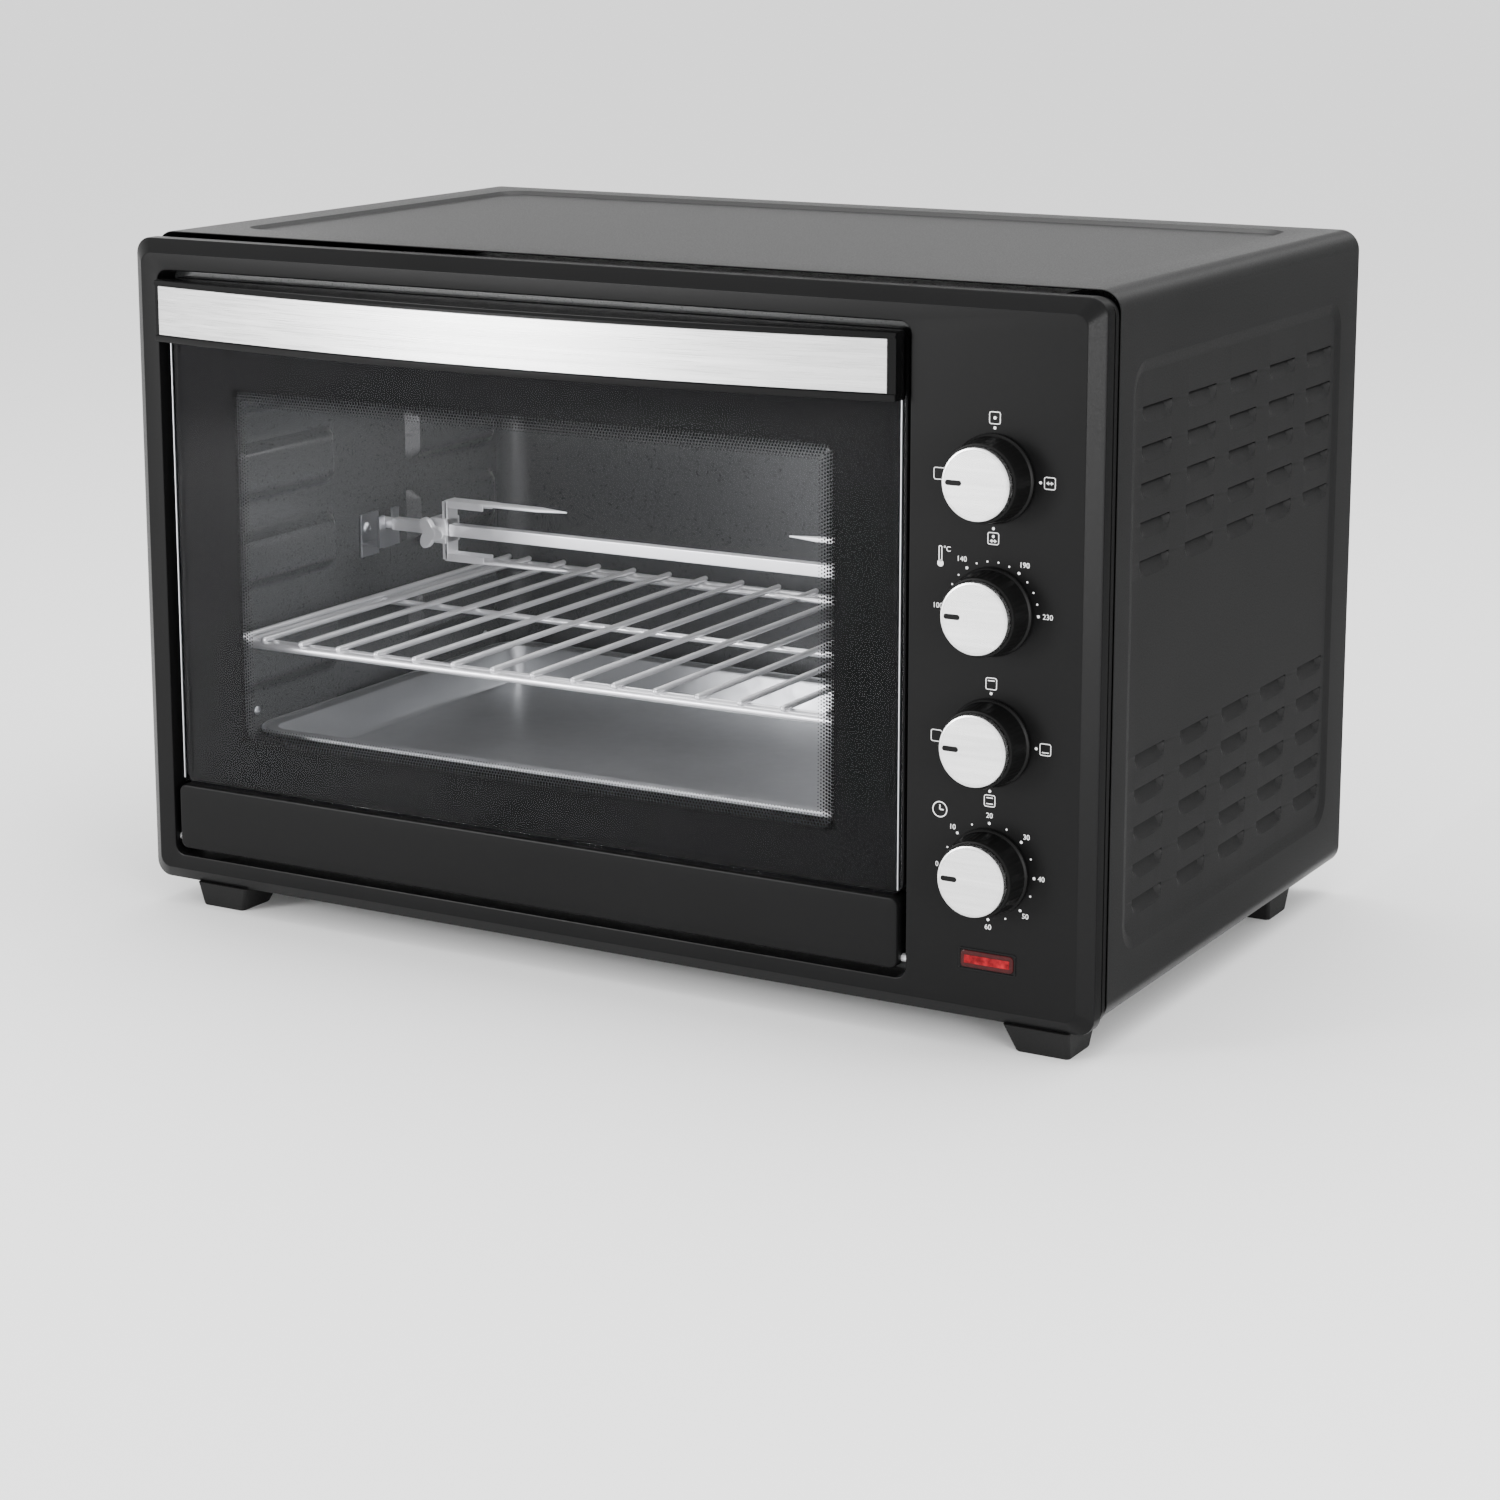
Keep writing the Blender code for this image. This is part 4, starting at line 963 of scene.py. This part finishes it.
# %% Cavity side walls
RIB_REACH, RIB_CORNER = 7.2, 9.0
UPPER_SLOPE, LOWER_SLOPE, END_SLOPE = 8.0, 11.0, 7.0
RIB_COLUMNS = ((30.0, 133.0), (207.0, 300.0))
RIB_ROWS = ((48.0, 83.0), (98.0, 135.0), (158.0, 195.0), (208.0, 245.0), (258.0, 295.0))


def smooth_step(value):
    """0 below 0, 1 above 1, and an even curve between."""
    value = max(0.0, min(1.0, value))
    return value * value * (3 - 2 * value)


def rib_push(y, z):
    """How far a rib stands in from the wall at a place."""
    reach = 0.0
    for front, back in RIB_COLUMNS:
        for low, high in RIB_ROWS:
            along = min(y - front, back - y)
            if along <= 0 or not low < z < high:
                continue
            lower, upper = z - low, high - z
            round_off = max(0.0, RIB_CORNER - along) ** 2 / (4 * RIB_CORNER)
            rise = min((lower - round_off) / LOWER_SLOPE, (upper - round_off) / UPPER_SLOPE,
                       along / END_SLOPE)
            reach = max(reach, RIB_REACH * smooth_step(rise))
    return reach


def pressed_wall(node, x, inward):
    """A side wall of the cavity from a fine grid."""
    low, high = box_mm(node)
    bm = bmesh.new()
    bmesh.ops.create_grid(bm, x_segments=104, y_segments=140, size=0.5)
    for vert in bm.verts:
        y = low.y + (vert.co.x + 0.5) * (high.y - low.y)
        z = low.z + (vert.co.y + 0.5) * (high.z - low.z)
        vert.co = Vector((x + inward * rib_push(y, z), y, z))
    bm.normal_update()
    if bm.faces[:][0].normal.x * inward < 0:
        bmesh.ops.reverse_faces(bm, faces=bm.faces)
    return finish_piece(node + "_pressing", bm, enamel, "housing", [node], wall=0.6)


left_wall, right_wall = box_mm("cavity_left_wall"), box_mm("cavity_right_wall")
LEFT_FACE, RIGHT_FACE = left_wall[0].x + 1.0, right_wall[1].x - 1.0
pressed_wall("cavity_left_wall", LEFT_FACE, 1)
pressed_wall("cavity_right_wall", RIGHT_FACE, -1)
print("cavity is", round(RIGHT_FACE - LEFT_FACE, 1), "mm wide")

# %% [markdown]
# The back wall meets the sides in a round fold, and the mouth of the cavity is a flat
# enamelled frame with a turned edge. Screw heads sit on both side walls.

# %% Cavity back, mouth and screws
back_low, back_high = box_mm("cavity_back_wall")
FOLD = 16.0
back_wall = bmesh.new()
floor_z, roof_z = back_low.z + 1.2, back_high.z - 1.2
fold_line = [(LEFT_FACE + 0.4, back_low.y - FOLD)]
fold_line += [(LEFT_FACE + FOLD - FOLD * math.cos(k * math.pi / 16),
               back_low.y - FOLD + FOLD * math.sin(k * math.pi / 16)) for k in range(1, 9)]
fold_line += [(LEFT_FACE + RIGHT_FACE - x, y) for x, y in fold_line[::-1]]
drawn_out(back_wall, [(x, y - 0.3, floor_z) for x, y in fold_line], (0, 0, roof_z - floor_z))
if sum(f.normal.y for f in back_wall.faces) > 0:
    bmesh.ops.reverse_faces(back_wall, faces=back_wall.faces)
finish_piece("cavity_back_pressing", back_wall, enamel, "housing", ["cavity_back_wall"], wall=0.5)

mouth_low, mouth_high = box_mm("cavity_front_frame")
mouth_frame = bmesh.new()
HOLE_LOW = Vector((LEFT_FACE, 0, box_mm("cavity_floor")[1].z))
HOLE_HIGH = Vector((RIGHT_FACE, 0, box_mm("cavity_roof")[0].z))
outer_mouth = ring_loop(mouth_frame, mouth_low, mouth_high, 16.0, 0.4, 4.0)
inner_mouth = [ring_loop(mouth_frame, HOLE_LOW, HOLE_HIGH, y, inset, 3.0 + max(0.0, -inset))
               for inset, y in ((-1.6, 16.0), (-0.5, 16.3), (0.0, 17.2), (0.0, 22.0))]
bridge(mouth_frame, inner_mouth)
flat_ring(mouth_frame, outer_mouth, inner_mouth[0])
face_towards(mouth_frame, 1, -1)
finish_piece("cavity_mouth", mouth_frame, enamel, "housing", ["cavity_front_frame"], wall=0.5)


def screw_head(bm, centre, facing, radius=3.0, height=1.6):
    """A domed cross-head screw whose head looks along an axis."""
    profile = ((0.0, 0.0), (0.0, radius * 0.98), (height * 0.35, radius), (height * 0.8, radius * 0.72),
               (height, radius * 0.3), (height * 0.75, radius * 0.22), (height * 0.55, 0.0))
    made = turn_profile(bmesh.new(), profile, 20)
    turn = Vector((0, 1, 0)).rotation_difference(Vector(facing)).to_matrix().to_4x4()
    bmesh.ops.transform(made, matrix=Matrix.Translation(centre) @ turn, verts=made.verts)
    absorb(bm, made)


wall_screws = bmesh.new()
for y, z in ((57.0, 88.5), (57.0, 300.0), (290.0, 88.5), (290.0, 300.0)):
    screw_head(wall_screws, (LEFT_FACE, y, z), (1, 0, 0), 2.6, 1.4)
    screw_head(wall_screws, (RIGHT_FACE, y, z), (-1, 0, 0), 2.6, 1.4)
finish_piece("cavity_screws", outward(wall_screws), zinc, "housing")

# %% [markdown]
# Four sheathed elements cross the cavity. Each is a straight tube with a ceramic bush where
# it passes a wall.

# %% Elements
for place in ("upper_front", "upper_rear", "lower_front", "lower_rear"):
    node = "heating_element_" + place
    low, high = box_mm(node)
    middle = (low + high) / 2
    across = Matrix.Translation((0, middle.y, middle.z)) @ Matrix.Rotation(-math.pi / 2, 4, "Z")
    tube = turn_profile(bmesh.new(), ((low.x, 0), (low.x, 3.9), (high.x, 3.9), (high.x, 0)), 20)
    bmesh.ops.transform(tube, matrix=across, verts=tube.verts)
    finish_piece("element_tube_" + place, outward(tube), element_metal, "housing", [node])
    bushes = bmesh.new()
    for start, end in ((LEFT_FACE, LEFT_FACE + 5.0), (RIGHT_FACE, RIGHT_FACE - 5.0)):
        step = (end - start) / 5.0
        collar = turn_profile(bmesh.new(), ((start, 4.0), (start, 8.2), (start + step, 8.6),
                                            (start + 3 * step, 8.6), (end, 6.6), (end, 4.0)), 24)
        bmesh.ops.transform(collar, matrix=across, verts=collar.verts)
        absorb(bushes, outward(collar))
    finish_piece("element_bushes_" + place, bushes, ceramic, "housing")
print("elements cross at", round(middle.z, 1))

# %% [markdown]
# The rack is welded from round wire: a heavy frame, thin rails under the bars, and bars with
# rounded tips that end on the front rail. A wire is a circle swept along a few places, made
# as a bevelled curve and turned into a mesh at once.

# %% Wires
def wire(bm, places, radius, closed=False, sides=3):
    """Add a round wire through some places, with rounded ends if it is open."""
    data = bpy.data.curves.new("wire", "CURVE")
    data.dimensions, data.bevel_depth, data.bevel_resolution = "3D", radius, sides
    data.use_fill_caps = True
    spline = data.splines.new("POLY")
    spline.points.add(len(places) - 1)
    for point, place in zip(spline.points, places):
        point.co = (*place, 1)
    spline.use_cyclic_u = closed
    held = bpy.data.objects.new("wire", data)
    mesh = bpy.data.meshes.new_from_object(held)
    bm.from_mesh(mesh)
    bpy.data.meshes.remove(mesh)
    bpy.data.objects.remove(held)
    bpy.data.curves.remove(data)
    if not closed:
        for place in (places[0], places[-1]):
            ball = bmesh.ops.create_icosphere(bm, subdivisions=2, radius=radius * 1.04)["verts"]
            bmesh.ops.translate(bm, vec=place, verts=ball)


rack_low, rack_high = box_mm("wire_rack")
FRAME_WIRE, BAR_WIRE = 2.3, 1.7
BAR_COUNT, BAR_PITCH = 16, 25.6
rack_middle = (rack_low.x + rack_high.x) / 2
rack = bmesh.new()
bar_z = rack_high.z - BAR_WIRE
frame_z = bar_z - BAR_WIRE - FRAME_WIRE + 0.4
wire(rack, [(u, v, frame_z) for u, v in arc_corners(
    rack_low.x + FRAME_WIRE, rack_high.x - FRAME_WIRE, rack_low.y + FRAME_WIRE,
    rack_high.y - FRAME_WIRE, 9.0, 6)], FRAME_WIRE, closed=True)
bar_places = [rack_middle + BAR_PITCH * (k - (BAR_COUNT - 1) / 2) for k in range(BAR_COUNT)]
for x in [rack_low.x + 4.0, *bar_places, rack_high.x - 4.0]:
    wire(rack, [(x, rack_low.y + 1.6, bar_z), (x, rack_high.y - 1.6, bar_z)], BAR_WIRE)
for y in (rack_low.y + 10.0, (rack_low.y + rack_high.y) / 2, rack_high.y - 10.0):
    wire(rack, [(rack_low.x + 3.0, y, frame_z), (rack_high.x - 3.0, y, frame_z)], FRAME_WIRE - 0.4)
finish_piece("rack_wires", rack, chrome, "rack", ["wire_rack"], sharp=60)
print("rack bars", BAR_COUNT)

# %% Tray
tray_low, tray_high = box_mm("baking_tray")
tray = bmesh.new()
TRAY_STEPS = ((1.3, 82.5), (0.5, 81.9), (0.4, 81.2), (1.2, 80.7), (2.2, 80.9), (3.0, 82.3), (8.6, 82.4),
              (9.6, 81.9), (10.3, 80.6), (14.6, 63.6), (16.0, 61.4), (18.4, 60.6))
tray_loops = [loop(tray, [(u, v, z) for u, v in arc_corners(
    tray_low.x + inset, tray_high.x - inset, tray_low.y + inset, tray_high.y - inset,
    22.0 - inset if inset < 16 else 5.0, 8)]) for inset, z in TRAY_STEPS]
bridge(tray, tray_loops)
lid(tray, tray_loops[-1])
tray.normal_update()
if min(tray.faces, key=lambda f: f.calc_center_median().z).normal.z < 0:
    bmesh.ops.reverse_faces(tray, faces=tray.faces)
finish_piece("tray_pressing", tray, tray_steel, "tray", ["baking_tray"], wall=0.6)
print("tray", [round(v, 1) for v in tray_high - tray_low])

# %% [markdown]
# The spit is a square rod with a pointed end. Each fork is a bent strip: a block that slides
# on the rod, a cross plate, and two flat prongs ground to points. A three-lobed screw clamps
# it. The round end of the rod lies in a cradle on the left wall.

# %% Spit rod
rod_low, rod_high = box_mm("spit_rod")
rod_y, rod_z = (rod_low.y + rod_high.y) / 2, (rod_low.z + rod_high.z) / 2
rod_half = (rod_high.z - rod_low.z) / 2
rod = slab(bmesh.new(), (rod_low.x + 12.0, rod_low.y, rod_low.z), rod_high, 0.45)
tip = turn_profile(bmesh.new(), ((rod_low.x, 0.0), (rod_low.x + 0.6, 1.3), (rod_low.x + 4.0, rod_half - 0.1),
                                 (rod_low.x + 12.4, rod_half - 0.1), (rod_low.x + 12.4, 0.0)), 24)
bmesh.ops.transform(tip, matrix=Matrix.Translation((0, rod_y, rod_z)) @ Matrix.Rotation(-math.pi / 2, 4, "Z"),
                    verts=tip.verts)

absorb(rod, outward(tip))
finish_piece("spit_square_rod", outward(rod), chrome, "spit", ["spit_rod"])


# %% Forks and their screws
def fork(side):
    """One fork as a bent, flanged strip with ground prongs."""
    low, high = box_mm(side + "_fork")
    facing = 1 if side == "left" else -1
    hub, tip_x = (low.x, high.x) if side == "left" else (high.x, low.x)
    plate = hub + facing * 11.0
    bm = bmesh.new()
    slab(bm, (min(hub, plate), rod_y - 7.5, rod_z - 7.5), (max(hub, plate), rod_y + 7.5, rod_z + 7.5), 0.8)
    slab(bm, (min(plate - facing * 2.4, plate), rod_y - 5.5, rod_z - 18.1),
         (max(plate - facing * 2.4, plate), rod_y + 5.5, rod_z + 18.1), 0.7)
    for edge in (-5.0, 5.0):
        slab(bm, (min(plate - facing * 3.6, plate), rod_y + edge - 0.5, rod_z - 17.2),
             (max(plate - facing * 3.6, plate), rod_y + edge + 0.5, rod_z + 17.2), 0.35)
    for up in (-1, 1):
        z = rod_z + up * 17.0
        root, point = plate - facing * 1.2, tip_x - facing * 18.0
        steps = ((root, 5.2, 1.15), (root + facing * 26.0, 5.2, 1.15), (root + facing * 34.0, 3.6, 1.15),
                 (point, 3.4, 1.1), (tip_x, 0.5, 0.35))
        loops = [loop(bm, [(x, rod_y + v * half, z + w * thick) for v, w in
                           ((1, 0.5), (0.8, 1), (-0.8, 1), (-1, 0.5), (-1, -0.5), (-0.8, -1), (0.8, -1), (1, -0.5))])
                 for x, half, thick in steps]
        closed(bm, loops)
        for edge in (-4.9, 4.9):
            slab(bm, (min(root, root + facing * 26.0), rod_y + edge - 0.5, z - 0.9 - 1.3 * (1 + up)),
                 (max(root, root + facing * 26.0), rod_y + edge + 0.5, z + 0.9 + 1.3 * (1 - up)), 0.3)
    finish_piece(side + "_fork_strip", outward(bm), chrome, side + "_spit_fork", [side + "_fork"])


def clamp_screw(side):
    """The three-lobed head and stem of a fork's clamping screw."""
    low, high = box_mm(side + "_thumbscrew")
    middle = (low.x + high.x) / 2
    bm = bmesh.new()
    shape = []
    for k in range(60):
        angle = 2 * math.pi * k / 60
        lobe = 7.3 + 2.6 * math.cos(3 * angle)
        shape.append((lobe * math.cos(angle), lobe * math.sin(angle)))
    steps = ((high.y - 6.0, 0.90), (high.y - 6.4, 1.0), (high.y - 9.4, 1.0), (high.y - 9.9, 0.90))
    loops = [loop(bm, [(middle + u * k, y, rod_z + v * k) for u, v in shape]) for y, k in steps]
    closed(bm, loops)
    boss = turn_profile(bmesh.new(), ((high.y, 0), (high.y, 2.4), (high.y - 5.0, 2.4), (high.y - 5.6, 4.6),
                                      (high.y - 10.0, 4.2), (high.y - 10.0, 0)), 24)
    bmesh.ops.translate(boss, vec=(middle, 0, rod_z), verts=boss.verts)
    absorb(bm, outward(boss))
    finish_piece(side + "_clamp_head", outward(bm), chrome, side + "_clamp_screw", [side + "_thumbscrew"])


for side in ("left", "right"):
    fork(side)
    clamp_screw(side)
print("forks done")

# %% Cradle bracket
bracket_low, bracket_high = box_mm("spit_bracket")
bracket = bmesh.new()
slab(bracket, (bracket_low.x, rod_y - 6.0, rod_z - 21.8), (bracket_low.x + 1.8, rod_y + 11.5, rod_z + 4.0), 0.6)
slab(bracket, (bracket_low.x, rod_y - 6.0, rod_z - 14.5), (bracket_high.x - 0.2, rod_y + 6.0, rod_z - 12.7), 0.5)
cradle = ((-10, -14), (10, -14), (10, 7.6), (9.6, 8), (4.6, 8), (4.2, 7.6), (4.2, -2.4), (3.0, -3.8), (-3.0, -3.8),
          (-4.2, -2.4), (-4.2, 4.6), (-4.6, 5), (-9.6, 5), (-10, 4.6))
loops = [loop(bracket, [(x, rod_y + v, rod_z + w) for v, w in cradle])
         for x in (bracket_high.x - 1.8, bracket_high.x)]
closed(bracket, loops)
screw_head(bracket, (bracket_low.x + 1.8, rod_y - 0.5, rod_z - 4.5), (1, 0, 0), 3.6, 2.0)
finish_piece("cradle_bracket", outward(bracket), zinc, "housing", ["spit_bracket"])

# %% [markdown]
# The fan draws air through a round guard of slots in the right wall. A near-black disc just
# behind the guard is painted shade: it hides the fan and darkens what is seen through the slots.

# %% Fan guard
fan_low, fan_high = box_mm("fan_blade")
fan_middle = (fan_low + fan_high) / 2
guard = bmesh.new()
GUARD_RINGS = ((44.0, 0.2), (43.0, 1.6), (40.0, 2.2), (38.5, 1.6))
ring_loops = [loop(guard, [(RIGHT_FACE - lift, fan_middle.y + radius * math.cos(k * math.pi / 32),
                            fan_middle.z + radius * math.sin(k * math.pi / 32)) for k in range(64)])
              for radius, lift in GUARD_RINGS]
bridge(guard, ring_loops)
for k in range(24):
    angle = 2 * math.pi * k / 24
    away = Vector((0, math.cos(angle), math.sin(angle)))
    guard_middle = Vector((RIGHT_FACE - 1.5, fan_middle.y, fan_middle.z))
    wire(guard, [guard_middle + away * r for r in (9.0, 38.8)], 1.0, sides=2)
hub = turn_profile(bmesh.new(), ((0.0, 0), (0.0, 10.5), (1.6, 10.5), (2.4, 9.0), (2.4, 0)), 32)
bmesh.ops.transform(hub, matrix=Matrix.Translation((RIGHT_FACE, fan_middle.y, fan_middle.z))
                    @ Matrix.Rotation(math.pi / 2, 4, "Z"), verts=hub.verts)
absorb(guard, outward(hub))
finish_piece("fan_guard", outward(guard), zinc, "housing")
# Painted shade: a near-black disc behind the guard, in place of the shadowed fan recess.
guard_dark = turn_profile(bmesh.new(), ((0.0, 0), (0.0, 39.0), (0.3, 39.0), (0.3, 0)), 48)
bmesh.ops.transform(guard_dark, matrix=Matrix.Translation((RIGHT_FACE - 0.1, fan_middle.y, fan_middle.z))
                    @ Matrix.Rotation(math.pi / 2, 4, "Z"), verts=guard_dark.verts)
finish_piece("fan_guard_shade", outward(guard_dark), painted_shade_finish, "housing")
print("fan guard at", [round(v, 1) for v in fan_middle])

# %% [markdown]
# The feet are moulded with a draft: upright outside, sloping inside. The rear panel is a
# flat sheet with a pressed panel, rows of vents and a row of screws.

# %% Feet
for node in ("foot_front_left", "foot_front_right", "foot_rear_left", "foot_rear_right"):
    low, high = box_mm(node)
    bm = bmesh.new()
    left_in, right_in = (1.0, 5.5) if "left" in node else (5.5, 1.0)
    rows = ((-14.5, 1.0, 0.6), (-13.8, 1.0, 0.1), (-0.4, 0.0, 0.0), (-0.1, 0.0, 0.6))
    loops = [loop(bm, [(u, v, z) for u, v in arc_corners(
        low.x + left_in * slope + shrink, high.x - right_in * slope - shrink,
        low.y + 3.5 * slope + shrink, high.y - 4.5 * slope - shrink, 2.2, 5)]) for z, slope, shrink in rows]
    closed(bm, loops)
    finish_piece(node + "_moulding", outward(bm), foot_black, "housing", [node])

# %% Rear panel
rear_low, rear_high = box_mm("rear_panel")
rear = bmesh.new()
rear_y = rear_high.y
outer_edge = loop(rear, [(u, rear_y, v) for u, v in arc_corners(
    rear_low.x, rear_high.x, rear_low.z, rear_high.z, 9.0)])
REAR_STEPS = ((40.0, 0.0), (41.0, 0.1), (43.5, 1.6), (44.5, 1.8))
rear_loops = [loop(rear, [(u, rear_y - deep, v) for u, v in arc_corners(
    inset, fascia_high.x - inset, inset, fascia_high.z - inset, 60.0 - inset)]) for inset, deep in REAR_STEPS]
flat_ring(rear, outer_edge, rear_loops[0])
bridge(rear, rear_loops)
VENT_LEFT, VENT_LOW = 95.0, 240.0
VENT_LENGTH, VENT_HEIGHT, VENT_RADIUS = 30.0, 3.2, 1.55
VENT_PITCH, VENT_ROW_PITCH = 45.0, 12.0
VENT_COLUMNS, VENT_ROWS = 9, 6
REAR_DEPTH = REAR_STEPS[-1][1]


def vent_loop(row, column):
    """The edge of one vent in the rear panel."""
    left, low = VENT_LEFT + column * VENT_PITCH, VENT_LOW + row * VENT_ROW_PITCH
    return loop(rear, [(u, rear_y - REAR_DEPTH, v) for u, v in arc_corners(
        left, left + VENT_LENGTH, low, low + VENT_HEIGHT, VENT_RADIUS, 3)])


vent_loops = [vent_loop(row, column) for row in range(VENT_ROWS) for column in range(VENT_COLUMNS)]
flat_ring(rear, rear_loops[-1], sum(vent_loops, []))
face_towards(rear, 1, 1)
finish_piece("rear_sheet", outward(rear), satin_black, "housing", ["rear_panel"], wall=0.7)
rear_screws = bmesh.new()
for x in (14.0, 150.0, 290.0, 430.0, 566.0):
    for z in (14.0, fascia_high.z - 14.0):
        screw_head(rear_screws, (x, rear_y, z), (0, 1, 0), 3.4, 1.8)
finish_piece("rear_screws", rear_screws, zinc, "housing")
print("rear vents", len(vent_loops))

# %% [markdown]
# The solids whose shapes are already right stay, and only get their finish.

# %% Finishes for the solids that stay
KEPT = {satin_black: ("base_pan",), foot_black: ("cord_gland",),
        enamel: ("cavity_roof", "cavity_floor"),
        cream: ("function_switch", "heat_switch", "indicator_lamp"),
        zinc: ("thermostat", "timer_works", "rotisserie_motor", "fan_motor", "fan_blade", "drive_socket",
               "hinge_bracket_left", "hinge_bracket_right", "function_spindle", "temperature_spindle",
               "heat_spindle", "timer_spindle"),
        chrome: ("timer_bell", "hinge_pin_left", "hinge_pin_right")}
for finish, nodes in KEPT.items():
    for node in nodes:
        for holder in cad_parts[node].material_slots:
            holder.material = finish
print("kept solids", sum(len(nodes) for nodes in KEPT.values()))
